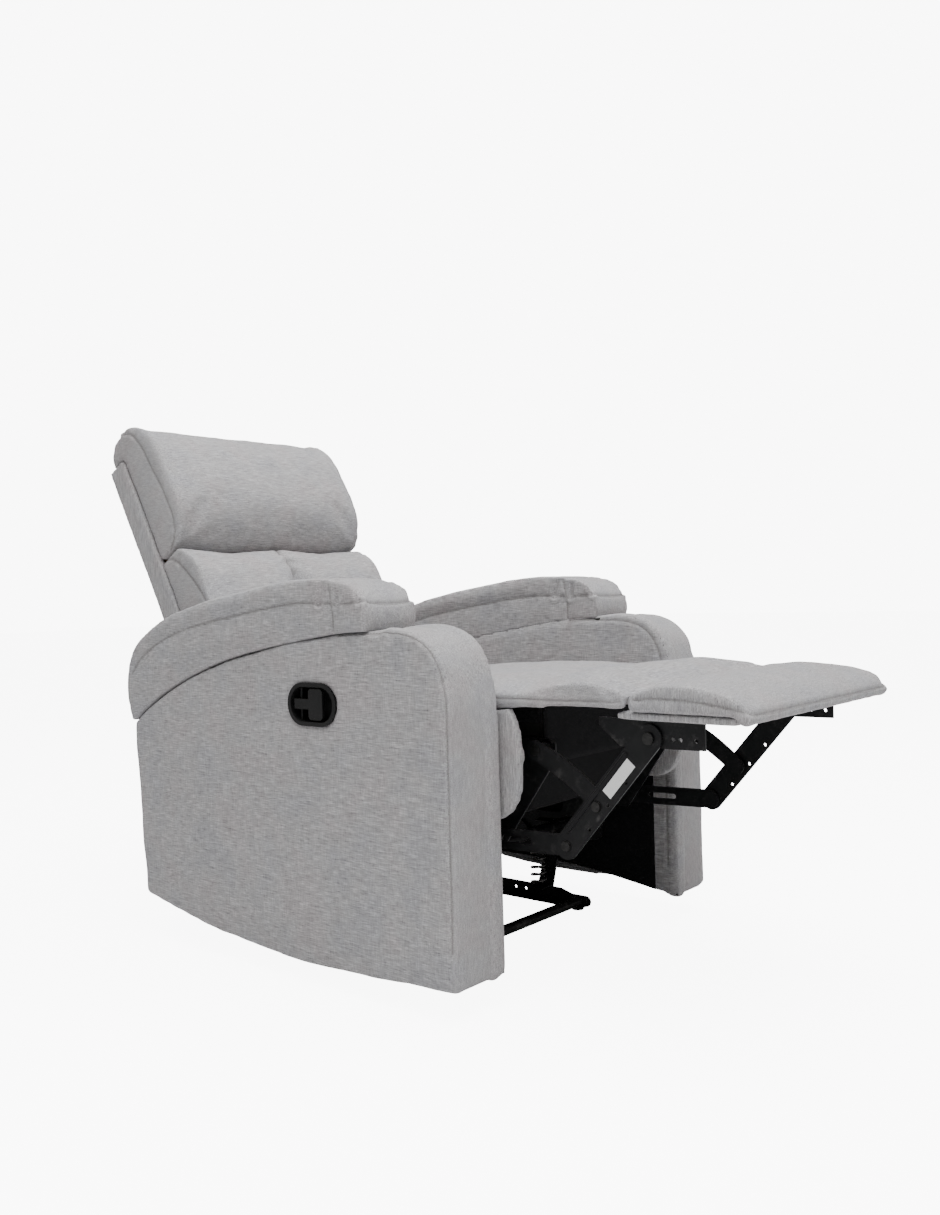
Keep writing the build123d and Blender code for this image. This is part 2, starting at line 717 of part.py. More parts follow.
PLATE_OUT = SEAT_PLATE + PLATE
RUNNER_IN = CHANNEL_IN + CHANNEL_WALL + SIDE_GAP
RUNNER_OUT = CHANNEL_OUT - CHANNEL_WALL - SIDE_GAP
RUNNER_FRONT = 330.0
RUNNER_REAR = 590.0
RUNNER_TOP = 276.0
with BuildPart() as seat_side_plates:
    with BuildSketch(side(SEAT_PLATE)) as plate_profile:
        with BuildLine():
            Polyline(
                (-50, 412),
                (-50, 380),
                (56, 232),
                (116, 232),
                (150, RUNNER_TOP),
                (640, RUNNER_TOP),
                (BACK_PIVOT[0] + 16, BACK_PIVOT[1] - 18),
                (BACK_PIVOT[0] + 16, BACK_PIVOT[1] + 16),
                (BACK_PIVOT[0] - 16, BACK_PIVOT[1] + 16),
                (690, 396),
                (620, 392),
                (60, 412),
                close=True,
            )
        make_face()
        fillet(plate_profile.vertices(), 10)
        with Locations(BACK_PIVOT):
            Circle(ROCK_PIN_R, mode=Mode.SUBTRACT)
        with Locations(DRIVE_PIVOT, GUIDE_PIVOT):
            Circle(LINK_PIN_R, mode=Mode.SUBTRACT)
        with Locations((230, 345), (380, 340), (530, 335)):
            SlotOverall(80, 40, mode=Mode.SUBTRACT)
    extrude(amount=PLATE)
    with BuildSketch(side(PLATE_OUT)):
        with Locations(((RUNNER_FRONT + RUNNER_REAR) / 2, RUNNER_TOP + PLATE / 2)):
            Rectangle(RUNNER_REAR - RUNNER_FRONT, PLATE)
    extrude(amount=RUNNER_OUT - PLATE_OUT)
    mirror(about=Plane.YZ)
write(seat_side_plates, "seat_side_plates")

with BuildPart() as glide_runners:
    runner_low = CHANNEL_FLOOR + CHANNEL_WALL + SIDE_GAP
    with BuildSketch(side(RUNNER_IN)):
        with Locations(((RUNNER_FRONT + RUNNER_REAR) / 2, (runner_low + RUNNER_TOP) / 2)):
            Rectangle(RUNNER_REAR - RUNNER_FRONT, RUNNER_TOP - runner_low)
    extrude(amount=RUNNER_OUT - RUNNER_IN)
    mirror(about=Plane.YZ)
write(glide_runners, "glide_runners")

# The drive link passes over the guide link's pin, so that pin's head is flat.
FLAT_HEAD = LAYER_DRIVE - LAYER_GUIDE - PLATE - 2 * SIDE_GAP
with BuildPart() as link_pins:
    for spot, layer, head in (
        (DRIVE_PIVOT, LAYER_DRIVE, 2.5),
        (GUIDE_PIVOT, LAYER_GUIDE, FLAT_HEAD),
    ):
        with BuildSketch(side(SEAT_PLATE - 3)):
            with Locations(spot):
                Circle(LINK_PIN_R + 4)
        extrude(amount=3)
        with BuildSketch(side(SEAT_PLATE)):
            with Locations(spot):
                Circle(LINK_PIN_R)
        extrude(amount=layer + PLATE + SIDE_GAP - SEAT_PLATE)
        with BuildSketch(side(PLATE_OUT)):
            with Locations(spot):
                Circle(LINK_PIN_R + 5)
        extrude(amount=layer - SIDE_GAP - PLATE_OUT)
        with BuildSketch(side(layer + PLATE + SIDE_GAP)):
            with Locations(spot):
                Circle(LINK_PIN_R + 4)
        extrude(amount=head)
    mirror(about=Plane.YZ)
write(link_pins, "link_pins")

COVER_HALF = 160.0
COVER_SKIN = 2.0
with BuildPart() as seat_dust_cover:
    with BuildSketch(side(-COVER_HALF)) as cover_profile:
        with BuildLine():
            cover_drop = -FRAME_DEPTH - 6 - COVER_SKIN
            cover_line = Polyline(
                (14, deck(14, cover_drop)),
                (38, 285),
                (116, 263),
                (169, 241),
                (600, 241),
                (630, deck(630, cover_drop)),
            )
            offset(amount=COVER_SKIN / 2, side=Side.BOTH)
        make_face()
    extrude(amount=2 * COVER_HALF)
write(seat_dust_cover, "seat_dust_cover")

# ---- back ---------------------------------------------------------------------------------------
FRAME_T = (-25.0, 5.0)
STILE_IN = 200.0
STILE_OUT = 240.0
STILE_LOW = 34.0
STILE_TOP = 600.0
with BuildPart() as back_frame:
    with BuildSketch(back(-STILE_OUT)):
        with Locations(((FRAME_T[0] + FRAME_T[1]) / 2, (STILE_LOW + STILE_TOP) / 2)):
            Rectangle(FRAME_T[1] - FRAME_T[0], STILE_TOP - STILE_LOW)
    extrude(amount=2 * STILE_OUT)
    for low, high in ((STILE_LOW + 45, 300.0), (340.0, STILE_TOP - 45)):
        with BuildSketch(back(-STILE_IN)):
            with Locations(((FRAME_T[0] + FRAME_T[1]) / 2, (low + high) / 2)):
                Rectangle(FRAME_T[1] - FRAME_T[0] + 2, high - low)
        extrude(amount=2 * STILE_IN, mode=Mode.SUBTRACT)
write(back_frame, "back_frame")


def back_place(x, t, h):
    """Row-frame point from the back's leaning coordinates."""
    return BACK.from_local_coords((t, h, x))


BACK_SPRING_X = (-120.0, 0.0, 120.0)
with BuildPart() as back_springs:
    for x in BACK_SPRING_X:
        low = STILE_LOW + 30
        run = STILE_TOP - 60 - low
        with BuildLine() as wire:
            FilletPolyline(
                *[
                    back_place(x + across, FRAME_T[0] - WIRE_R, low + along)
                    for along, across in zigzag(run, 22, 11)
                ],
                radius=9,
            )
        with BuildSketch(Plane(origin=wire.line @ 0, z_dir=wire.line % 0)):
            Circle(WIRE_R)
        sweep(path=wire.line)
write(back_springs, "back_springs")

CUSHION_BACK = FRAME_T[0] - 2 * WIRE_R - SOFT_GAP
LUMBAR_LOW = 46.0
LUMBAR_TOP = 338.0
LUMBAR_EDGE = -92.0
LUMBAR_CROWN = -132.0
CENTRE_CREASE = 1.5
with BuildPart() as lumbar_cushions:
    with BuildSketch(back(CENTRE_CREASE / 2)):
        with BuildLine():
            Polyline(
                (LUMBAR_EDGE, LUMBAR_LOW),
                (CUSHION_BACK, LUMBAR_LOW),
                (CUSHION_BACK, LUMBAR_TOP),
                (LUMBAR_EDGE, LUMBAR_TOP),
            )
            Spline(
                (LUMBAR_EDGE, LUMBAR_TOP),
                (LUMBAR_CROWN + 4, LUMBAR_TOP - 46),
                (LUMBAR_CROWN, (LUMBAR_LOW + LUMBAR_TOP) / 2 + 20),
                (LUMBAR_CROWN + 10, LUMBAR_LOW + 60),
                (LUMBAR_EDGE, LUMBAR_LOW),
            )
        make_face()
    extrude(amount=BACK_HALF - CENTRE_CREASE / 2)
    mirror(about=Plane.YZ)
write(lumbar_cushions, "lumbar_cushions")

HEAD_LOW = LUMBAR_TOP + 0.5
HEAD_TOP = BACK_HEIGHT
with BuildPart() as headrest_cushion:
    with BuildSketch(back(-BACK_HALF)):
        with BuildLine():
            Polyline(
                (-98, HEAD_LOW),
                (CUSHION_BACK, HEAD_LOW),
                (CUSHION_BACK, STILE_TOP + 1),
                (12, STILE_TOP + 1),
            )
            Spline(
                (12, STILE_TOP + 1),
                (2, HEAD_TOP - 14),
                (-48, HEAD_TOP + 8),
                (-104, HEAD_TOP - 8),
                (-140, HEAD_TOP - 70),
                (-148, (HEAD_LOW + HEAD_TOP) / 2),
                (-134, HEAD_LOW + 36),
                (-98, HEAD_LOW),
            )
        make_face()
    extrude(amount=2 * BACK_HALF)
write(headrest_cushion, "headrest_cushion")

SHELL_LOW = -42.0
SHELL_TOP = STILE_TOP
SHELL_WALL = 22.0
WING_IN = STILE_OUT + PLATE + SIDE_GAP
NOTCH_TOP = 26.0
with BuildPart() as back_shell:
    with BuildSketch(back(-BACK_HALF)):
        with Locations(((FRAME_T[1] + FRAME_T[1] + SHELL_WALL) / 2, (SHELL_LOW + SHELL_TOP) / 2)):
            Rectangle(SHELL_WALL, SHELL_TOP - SHELL_LOW)
    extrude(amount=2 * BACK_HALF)
    for s in (1, -1):
        with BuildSketch(back(s * WING_IN)):
            with Locations(((CUSHION_BACK + FRAME_T[1]) / 2, (STILE_LOW + 12 + SHELL_TOP) / 2)):
                Rectangle(FRAME_T[1] - CUSHION_BACK, SHELL_TOP - STILE_LOW - 12)
        extrude(amount=s * (BACK_HALF - WING_IN))
        with BuildSketch(back(s * (SEAT_PLATE - 4))):
            with Locations((FRAME_T[1] + SHELL_WALL / 2, (SHELL_LOW - 1 + NOTCH_TOP) / 2)):
                Rectangle(SHELL_WALL + 2, NOTCH_TOP - SHELL_LOW + 1)
        extrude(amount=s * (WING_IN + 4 - SEAT_PLATE + 4), mode=Mode.SUBTRACT)
write(back_shell, "back_shell")

BRACKET_IN = STILE_OUT
with BuildPart() as back_brackets:
    with BuildSketch(back(BRACKET_IN)) as bracket_profile:
        with BuildLine():
            Polyline(
                (-16, -16),
                (16, -16),
                (16, 6),
                (4, 22),
                (4, 230),
                (-24, 230),
                (-24, 36),
                (-16, 12),
                close=True,
            )
        make_face()
        fillet(bracket_profile.vertices(), 6)
        Circle(ROCK_PIN_R + PIN_FIT, mode=Mode.SUBTRACT)
    extrude(amount=PLATE)
    mirror(about=Plane.YZ)
write(back_brackets, "back_brackets")

with BuildPart() as recline_pins:
    for x, depth, radius in (
        (SEAT_PLATE - 3, 3, ROCK_PIN_R + 4),
        (SEAT_PLATE, BRACKET_IN + PLATE + SIDE_GAP - SEAT_PLATE, ROCK_PIN_R),
        (PLATE_OUT, BRACKET_IN - SIDE_GAP - PLATE_OUT, ROCK_PIN_R + 4),
        (BRACKET_IN + PLATE + SIDE_GAP, 3, ROCK_PIN_R + 4),
    ):
        with BuildSketch(side(x)):
            with Locations(BACK_PIVOT):
                Circle(radius)
        extrude(amount=depth)
    mirror(about=Plane.YZ)
write(recline_pins, "recline_pins")

# ---- footrest -----------------------------------------------------------------------------------
# Hollows in the pad's underside take the seat plates and links when the footrest is folded down.
POCKET_IN = SEAT_PLATE - 6
POCKET_OUT = SEAT_HALF - 11.5
POCKET_TOP = FOLD_AXIS[1] + 23
with BuildPart() as bridge_pad:
    with BuildSketch(side(-SEAT_HALF)):
        with BuildLine():
            bridge_rear = SEAT_FRONT - SOFT_GAP
            Polyline(
                (bridge_rear, SEAT_EDGE_TOP),
                (bridge_rear, FOLD_AXIS[1] + 2),
                (BRIDGE_FRONT + 0.5, FOLD_AXIS[1] + 6),
                (BRIDGE_FRONT + 0.5, SEAT_EDGE_TOP - 2),
            )
            Spline(
                (BRIDGE_FRONT + 0.5, SEAT_EDGE_TOP - 2),
                (-190, SEAT_EDGE_TOP + 12),
                (-120, SEAT_EDGE_TOP + 16),
                (bridge_rear, SEAT_EDGE_TOP),
            )
        make_face()
    extrude(amount=2 * SEAT_HALF)
    for x in (POCKET_IN, -POCKET_OUT):
        with BuildSketch(side(x)):
            with Locations(((bridge_rear + BRIDGE_FRONT) / 2, POCKET_TOP - 20)):
                Rectangle(bridge_rear - BRIDGE_FRONT + 10, 40)
        extrude(amount=POCKET_OUT - POCKET_IN, mode=Mode.SUBTRACT)
write(bridge_pad, "bridge_pad")

BOARD_REAR = -203.0
BOARD_FRONT = -400.0
BOARD_HALF = 252.0
with BuildPart() as footrest_board:
    with BuildSketch(side(-BOARD_HALF)):
        with Locations(((BOARD_REAR + BOARD_FRONT) / 2, BOARD_TOP - BOARD_THICK / 2)):
            Rectangle(BOARD_REAR - BOARD_FRONT, BOARD_THICK)
    extrude(amount=2 * BOARD_HALF)
write(footrest_board, "footrest_board")

with BuildPart() as footrest_pad:
    with BuildSketch(side(-SEAT_HALF)):
        with BuildLine():
            Polyline(
                (BRIDGE_FRONT, SEAT_EDGE_TOP - 4),
                (BRIDGE_FRONT, BOARD_TOP + SOFT_GAP),
                (BOARD_FRONT - 1, BOARD_TOP + SOFT_GAP),
                (BOARD_FRONT - 1, BOARD_TOP - BOARD_THICK),
            )
            Spline(
                (BOARD_FRONT - 1, BOARD_TOP - BOARD_THICK),
                (FOOTREST_FRONT, 464),
                (FOOTREST_FRONT + 4, 484),
                (-388, 500),
                (-320, PAD_TOP + 2),
                (-262, PAD_TOP),
                (BRIDGE_FRONT, SEAT_EDGE_TOP - 4),
            )
        make_face()
    extrude(amount=2 * SEAT_HALF)
write(footrest_pad, "footrest_pad")

BRACKET_TOP = BOARD_TOP - BOARD_THICK
BRACKET_LOW = 416.0
with BuildPart() as footrest_brackets:
    with BuildSketch(side(LAYER_DRIVE)) as bracket_side:
        with BuildLine():
            Polyline(
                (-160, BRACKET_TOP),
                (-160, 446),
                (-196, BRACKET_LOW),
                (-336, BRACKET_LOW + 2),
                (-336, BRACKET_TOP),
                close=True,
            )
        make_face()
        with Locations(LINK_TOP):
            Circle(LINK_PIN_R, mode=Mode.SUBTRACT)
        with Locations((-285, 431), (-297, 431), (-322, 431)):
            Circle(3.2, mode=Mode.SUBTRACT)
    extrude(amount=PLATE)
    with BuildSketch(side(LAYER_DRIVE)):
        with Locations(((BOARD_REAR - 336) / 2, BRACKET_TOP - 1.5)):
            Rectangle(336 + BOARD_REAR, 3)
    extrude(amount=-26)
    mirror(about=Plane.YZ)
write(footrest_brackets, "footrest_brackets")

with BuildPart() as board_screws:
    for y in (-225.0, -270.0, -315.0):
        with BuildSketch(Plane.XY.offset(BRACKET_TOP - 3)):
            with Locations((LAYER_DRIVE - 13, ARM_FRONT + y)):
                Circle(4.5)
        extrude(amount=-2.2, taper=20)
    mirror(about=Plane.YZ)
write(board_screws, "board_screws")

with BuildPart() as footrest_pins:
    for x, depth, radius in (
        (LAYER_DRIVE - 2.5, 2.5, LINK_PIN_R + 4),
        (LAYER_DRIVE, LAYER_LONG + PLATE + SIDE_GAP - LAYER_DRIVE, LINK_PIN_R),
        (LAYER_LONG + PLATE + SIDE_GAP, 3, LINK_PIN_R + 4),
    ):
        with BuildSketch(side(x)):
            with Locations(LINK_TOP):
                Circle(radius)
        extrude(amount=depth)
    mirror(about=Plane.YZ)
write(footrest_pins, "footrest_pins")

# ---- footrest linkage ---------------------------------------------------------------------------
def link_plane(start, end, x):
    """Plane at x whose first axis runs from one pivot to the other."""
    along = Vector(0, end[0] - start[0], end[1] - start[1]).normalized()
    return Plane(origin=place(x, *start), x_dir=along, z_dir=(1, 0, 0))


def span(start, end):
    return Vector(end[0] - start[0], end[1] - start[1]).length


LONG_LENGTH = span(LINK_TOP, LINK_LOW)
LINK_HOLES = (0.34, 0.55, 0.78)
long_plane = link_plane(LINK_TOP, LINK_LOW, LAYER_LONG)
with BuildPart() as long_links:
    with BuildSketch(long_plane):
        with Locations((LONG_LENGTH / 2, 0)):
            SlotCenterToCenter(LONG_LENGTH, 2 * LINK_HALF_WIDTH)
        Circle(LINK_PIN_R + PIN_FIT, mode=Mode.SUBTRACT)
        with Locations(*[(share * LONG_LENGTH, -LINK_HALF_WIDTH + 8) for share in LINK_HOLES]):
            Circle(3, mode=Mode.SUBTRACT)
    extrude(amount=PLATE)
    with BuildSketch(long_plane.offset(PLATE)):
        with Locations((LONG_LENGTH * 0.55, 13.5)):
            SlotOverall(LONG_LENGTH * 0.74, 8)
    extrude(amount=2.2, taper=25)
    mirror(about=Plane.YZ)
write(long_links, "long_links")

with BuildPart() as long_link_rivets:
    for spot in (LINK_LOW, LINK_MID):
        with BuildSketch(side(LAYER_LONG + PLATE)):
            with Locations(spot):
                Circle(8.5)
        extrude(amount=3.5, taper=15)
    mirror(about=Plane.YZ)
write(long_link_rivets, "long_link_rivets")

LABEL_SIZE = (68.0, 18.0)
with BuildPart() as blank_label:
    with BuildSketch(link_plane(LINK_TOP, LINK_LOW, -LAYER_LONG - PLATE)):
        with Locations((LONG_LENGTH * 0.355, -1)):
            Rectangle(*LABEL_SIZE)
    extrude(amount=-0.3)
write(blank_label, "blank_label")

DRIVE_LENGTH = span(DRIVE_PIVOT, LINK_LOW)
with BuildPart() as drive_links:
    with BuildSketch(link_plane(DRIVE_PIVOT, LINK_LOW, LAYER_DRIVE)):
        with Locations((DRIVE_LENGTH / 2, 0)):
            SlotCenterToCenter(DRIVE_LENGTH, 34)
        Circle(LINK_PIN_R + PIN_FIT, mode=Mode.SUBTRACT)
        with Locations((DRIVE_LENGTH * 0.45, 0)):
            SlotOverall(60, 10, mode=Mode.SUBTRACT)
    extrude(amount=PLATE)
    mirror(about=Plane.YZ)
write(drive_links, "drive_links")

GUIDE_LENGTH = span(GUIDE_PIVOT, LINK_MID)
with BuildPart() as guide_links:
    with BuildSketch(link_plane(GUIDE_PIVOT, LINK_MID, LAYER_GUIDE)):
        with BuildLine():
            CenterArc((0, 0), 16, 90, 180)
            Spline((0, -16), (GUIDE_LENGTH * 0.5, -22), (GUIDE_LENGTH, -15))
            CenterArc((GUIDE_LENGTH, 0), 15, -90, 180)
            Spline((GUIDE_LENGTH, 15), (GUIDE_LENGTH * 0.5, 10), (0, 16))
        make_face()
        Circle(LINK_PIN_R + PIN_FIT, mode=Mode.SUBTRACT)
    extrude(amount=PLATE)
    mirror(about=Plane.YZ)
write(guide_links, "guide_links")
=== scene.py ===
import math

import bmesh
import bpy
import numpy as np
from mathutils import Matrix, Vector, noise
from mathutils.bvhtree import BVHTree


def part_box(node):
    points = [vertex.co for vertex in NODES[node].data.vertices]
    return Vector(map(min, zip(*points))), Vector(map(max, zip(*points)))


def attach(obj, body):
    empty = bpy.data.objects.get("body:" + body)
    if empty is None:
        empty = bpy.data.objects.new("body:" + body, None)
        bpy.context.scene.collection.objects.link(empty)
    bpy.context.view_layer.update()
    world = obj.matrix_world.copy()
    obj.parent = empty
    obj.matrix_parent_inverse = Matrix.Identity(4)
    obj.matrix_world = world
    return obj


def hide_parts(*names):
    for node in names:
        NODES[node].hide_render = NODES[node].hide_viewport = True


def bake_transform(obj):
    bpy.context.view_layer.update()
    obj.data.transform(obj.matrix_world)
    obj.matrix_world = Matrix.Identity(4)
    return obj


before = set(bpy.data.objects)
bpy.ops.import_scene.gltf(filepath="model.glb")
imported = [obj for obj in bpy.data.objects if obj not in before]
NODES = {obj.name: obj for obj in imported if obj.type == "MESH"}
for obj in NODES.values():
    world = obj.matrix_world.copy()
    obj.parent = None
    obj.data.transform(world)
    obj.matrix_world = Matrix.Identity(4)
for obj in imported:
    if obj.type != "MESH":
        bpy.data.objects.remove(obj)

for leftover in ("Cube", "Light", "Camera"):
    if leftover in bpy.data.objects:
        bpy.data.objects.remove(bpy.data.objects[leftover])
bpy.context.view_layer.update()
SCENE = bpy.context.scene

# Places that the rest is set out from, all read from the frame
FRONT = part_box("arm_cover_right")[0].y - 0.001  # the arms' front face
PIN_LO, PIN_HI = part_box("recline_pins")
PIVOT = Vector((0, (PIN_LO.y + PIN_HI.y) / 2, (PIN_LO.z + PIN_HI.z) / 2))
BACK_TILT = math.radians(29.5)
UP_BACK = Vector((0, math.sin(BACK_TILT), math.cos(BACK_TILT)))
REAR_BACK = Vector((0, math.cos(BACK_TILT), -math.sin(BACK_TILT)))
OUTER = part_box("arm_pillow_left")[1].x  # a pillow's outer face
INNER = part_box("arm_pillow_left")[0].x  # and its inner face
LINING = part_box("arm_lining_left")[0].x  # the arm's inner face
BOARD_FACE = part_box("arm_cover_left")[0].x  # outer face of the arm's board
SIDES = (("left", 1), ("right", -1))


def at(x, y, z):
    """A point from millimetres: across, rearward from the arms' front, up."""
    return Vector((x / 1000, FRONT + y / 1000, z / 1000))


def on_back(x, t, h):
    """A point from millimetres on the back: across, rearward from its plane, up along it."""
    return Vector((x / 1000, 0, 0)) + PIVOT + REAR_BACK * (t / 1000) + UP_BACK * (h / 1000)


# ---------------------------------------------------------------- camera
CAMERA_AT = Vector((-1.642, -1.4234, 0.648))
YAW, PITCH, ROLL = (math.radians(a) for a in (50.1, 0.71, -1.5))


def make_camera():
    forward = Vector((math.sin(YAW) * math.cos(PITCH), math.cos(YAW) * math.cos(PITCH), -math.sin(PITCH)))
    right = forward.cross(Vector((0, 0, 1))).normalized()
    up = right.cross(forward)
    c, s = math.cos(ROLL), math.sin(ROLL)
    right, up = c * right + s * up, c * up - s * right
    data = bpy.data.cameras.new("camera")
    data.sensor_width = 36
    data.sensor_fit = "AUTO"
    data.lens = 33.19
    camera = bpy.data.objects.new("camera", data)
    SCENE.collection.objects.link(camera)
    turn = Matrix((right, up, -forward)).transposed().to_4x4()
    camera.matrix_world = Matrix.Translation(CAMERA_AT) @ turn
    SCENE.camera = camera


make_camera()


# ---------------------------------------------------------------- materials
class Graph:
    """Builds a material's nodes; a value that is a (node, output) pair is linked."""

    def __init__(self, name, **shader):
        self.material = bpy.data.materials.new(name)
        self.material.use_nodes = True
        self.tree = self.material.node_tree
        self.tree.nodes.clear()
        out = self.tree.nodes.new("ShaderNodeOutputMaterial")
        self.bsdf = self.tree.nodes.new("ShaderNodeBsdfPrincipled")
        self.tree.links.new(self.bsdf.outputs[0], out.inputs[0])
        self.fill(self.bsdf, shader)

    def fill(self, node, values):
        for key, value in values.items():
            socket = node.inputs[int(key[1:])] if key[0] == "_" else node.inputs[key.replace("_", " ")]
            if isinstance(value, tuple) and isinstance(value[0], bpy.types.Node):
                self.tree.links.new(value[0].outputs[value[1]], socket)
            else:
                socket.default_value = value

    def add(self, kind, values=None, **settings):
        node = self.tree.nodes.new("ShaderNode" + kind)
        for key, value in settings.items():
            setattr(node, key, value)
        self.fill(node, values or {})
        return node

    def place(self, scale=(1, 1, 1), turn=(0, 0, 0)):
        coordinates = self.add("TexCoord")
        return self.add("Mapping", {"Vector": (coordinates, "Object"), "Scale": scale, "Rotation": turn}), 0

    def noise(self, scale, stretch=(1, 1, 1), detail=2.0, rough=0.5):
        values = {"Vector": self.place(stretch), "Scale": scale, "Detail": detail, "Roughness": rough}
        return self.add("TexNoise", values), 0

    def bands(self, wavelength, axis, distortion=1.0):
        scale = 2 * math.pi / (20 * wavelength)
        values = {"Vector": self.place(), "Scale": scale, "Distortion": distortion}
        values |= {"Detail": 1.0, "Detail Scale": 0.5}
        return self.add("TexWave", values, wave_type="BANDS", bands_direction=axis), 1

    def math(self, operation, a, b=0.5, clamp=False):
        return self.add("Math", {"_0": a, "_1": b}, operation=operation, use_clamp=clamp), 0

    def ramp(self, value, *stops):
        node = self.add("ValToRGB", {"Fac": value})
        elements = node.color_ramp.elements
        while len(elements) < len(stops):
            elements.new(0.5)
        for element, (position, colour) in zip(elements, stops):
            element.position = position
            element.color = (*colour, 1) if isinstance(colour, tuple) else (colour, colour, colour, 1)
        return node, 0

    def mix(self, kind, factor, a, b):
        node = self.add("Mix", {"_0": factor, "_6": a, "_7": b}, data_type="RGBA", blend_type=kind)
        return node, 2

    def bump(self, height, strength, distance, below=None):
        values = {"Height": height, "Strength": strength, "Distance": distance}
        if below:
            values["Normal"] = below
        return self.add("Bump", values), 0


def rgb(r, g, b):
    return (r, g, b, 1)


def fabric(name, along):
    """Heathered weave, darkened with painted shade along the seams; along is the axis (0, 1 or 2) its slubs
    run along.
    """
    g = Graph(name, Sheen_Weight=0.16, Sheen_Roughness=0.45, IOR=1.4, Specular_IOR_Level=0.2)
    long_way = [650.0, 650.0, 650.0]
    long_way[along] = 46.0
    slub = g.noise(1.0, tuple(long_way), 3.0, 0.6)
    other = [420.0, 420.0, 420.0]
    other[(along + 1) % 3] = 70.0
    cross = g.noise(1.0, tuple(other), 2.0, 0.5)
    flecks = g.noise(900.0, detail=1.0)
    mixed = g.math("MULTIPLY_ADD", slub, 0.62)
    mixed[0].inputs[2].default_value = 0.02
    mixed = g.math("ADD", mixed, g.math("MULTIPLY", cross, 0.24))
    mixed = g.math("ADD", mixed, g.math("MULTIPLY", flecks, 0.12))
    colour = g.ramp(
        mixed,
        (0.32, (0.140, 0.136, 0.137)),
        (0.43, (0.280, 0.273, 0.275)),
        (0.55, (0.378, 0.370, 0.374)),
        (0.67, (0.560, 0.550, 0.555)),
    )
    patch = g.noise(14.0, detail=3.0)
    tint = g.ramp(patch, (0.35, (0.93, 0.94, 0.965)), (0.5, (1.0, 1.0, 1.0)), (0.65, (1.0, 0.965, 0.965)))
    colour = g.mix("MULTIPLY", 1.0, colour, tint)
    # Painted shade: the cloth's colour is darkened along the seam grooves, weighted by the seam attribute.
    seam = g.add("Attribute", attribute_name="seam"), 2
    colour = g.mix("MIX", g.math("MULTIPLY", seam, 0.62, True), colour, rgb(0.13, 0.122, 0.118))
    g.fill(g.bsdf, {"Base Color": colour})
    weave = g.math("ADD", g.bands(0.0017, "X"), g.bands(0.0017, "Y"))
    weave = g.math("ADD", weave, g.bands(0.0017, "Z"))
    weave = g.math("MULTIPLY_ADD", weave, 0.30)
    g.fill(weave[0], {"_2": g.math("MULTIPLY", mixed, 0.9)})
    nap = g.bump(g.noise(160.0, detail=4.0), 0.25, 0.0012)
    g.fill(g.bsdf, {"Normal": g.bump(weave, 0.42, 0.0006, nap)})
    g.fill(g.bsdf, {"Roughness": g.ramp(mixed, (0.2, 0.97), (0.8, 0.86))})
    return g.material


def steel_paint():
    g = Graph("black_steel_paint", IOR=1.5, Specular_IOR_Level=0.22)
    edge = g.ramp((g.add("NewGeometry"), "Pointiness"), (0.57, 0.0), (0.68, 1.0))
    scuff = g.ramp(g.noise(42.0, detail=5.0, rough=0.65), (0.55, 0.0), (0.72, 1.0))
    wear = g.math("MULTIPLY", edge, scuff)
    base = g.ramp(g.noise(26.0, detail=4.0), (0.3, (0.0045, 0.0045, 0.005)), (0.7, (0.0085, 0.0084, 0.0088)))
    g.fill(g.bsdf, {"Base Color": g.mix("MIX", g.math("MULTIPLY", wear, 0.5), base, rgb(0.16, 0.155, 0.15))})
    g.fill(g.bsdf, {"Roughness": g.ramp(g.noise(60.0, detail=3.0), (0.3, 0.36), (0.7, 0.52))})
    g.fill(g.bsdf, {"Normal": g.bump(g.noise(700.0, detail=2.0), 0.12, 0.0004)})
    return g.material


def metal(name, tone, rough, stretch):
    g = Graph(name, Metallic=1.0)
    streaks = g.noise(1.0, stretch, 3.0)
    low, high = tuple(0.78 * c for c in tone), tuple(min(1, 1.15 * c) for c in tone)
    g.fill(g.bsdf, {"Base Color": g.ramp(streaks, (0.3, low), (0.7, high))})
    g.fill(g.bsdf, {"Roughness": g.ramp(g.noise(220.0, detail=3.0), (0.3, rough - 0.08), (0.7, rough + 0.1))})
    g.fill(g.bsdf, {"Normal": g.bump(streaks, 0.1, 0.0002)})
    return g.material


def plastic(name, tone, rough, grain, depth):
    g = Graph(name, IOR=1.46, Specular_IOR_Level=0.3)
    cells = g.add("TexVoronoi", {"Vector": g.place(), "Scale": grain}, feature="SMOOTH_F1"), 0
    g.fill(g.bsdf, {"Base Color": g.ramp(g.noise(35.0, detail=3.0), (0.3, tone * 0.8), (0.7, tone * 1.25))})
    g.fill(g.bsdf, {"Roughness": g.ramp(g.noise(80.0, detail=2.0), (0.3, rough - 0.05), (0.7, rough + 0.08))})
    g.fill(g.bsdf, {"Normal": g.bump(cells, 0.22, depth)})
    return g.material


def wood_grain(name, *stops):
    """Long grain with slow rings; stops are the ramp of tones from dark to light."""
    g = Graph(name, IOR=1.45, Specular_IOR_Level=0.25)
    values = {"Vector": g.place((0.12, 1.0, 1.0)), "Scale": 9.0, "Distortion": 2.2}
    values |= {"Detail": 2.0, "Detail Scale": 1.2}
    rings = g.add("TexWave", values, wave_type="BANDS", bands_direction="Z"), 1
    fibre = g.noise(1.0, (18.0, 420.0, 420.0), 4.0, 0.6)
    both = g.math("ADD", g.math("MULTIPLY", rings, 0.3), g.math("MULTIPLY", fibre, 0.7))
    g.fill(g.bsdf, {"Base Color": g.ramp(both, *stops), "Roughness": g.ramp(fibre, (0.3, 0.62), (0.7, 0.8))})
    g.fill(g.bsdf, {"Normal": g.bump(both, 0.25, 0.0006)})
    return g.material


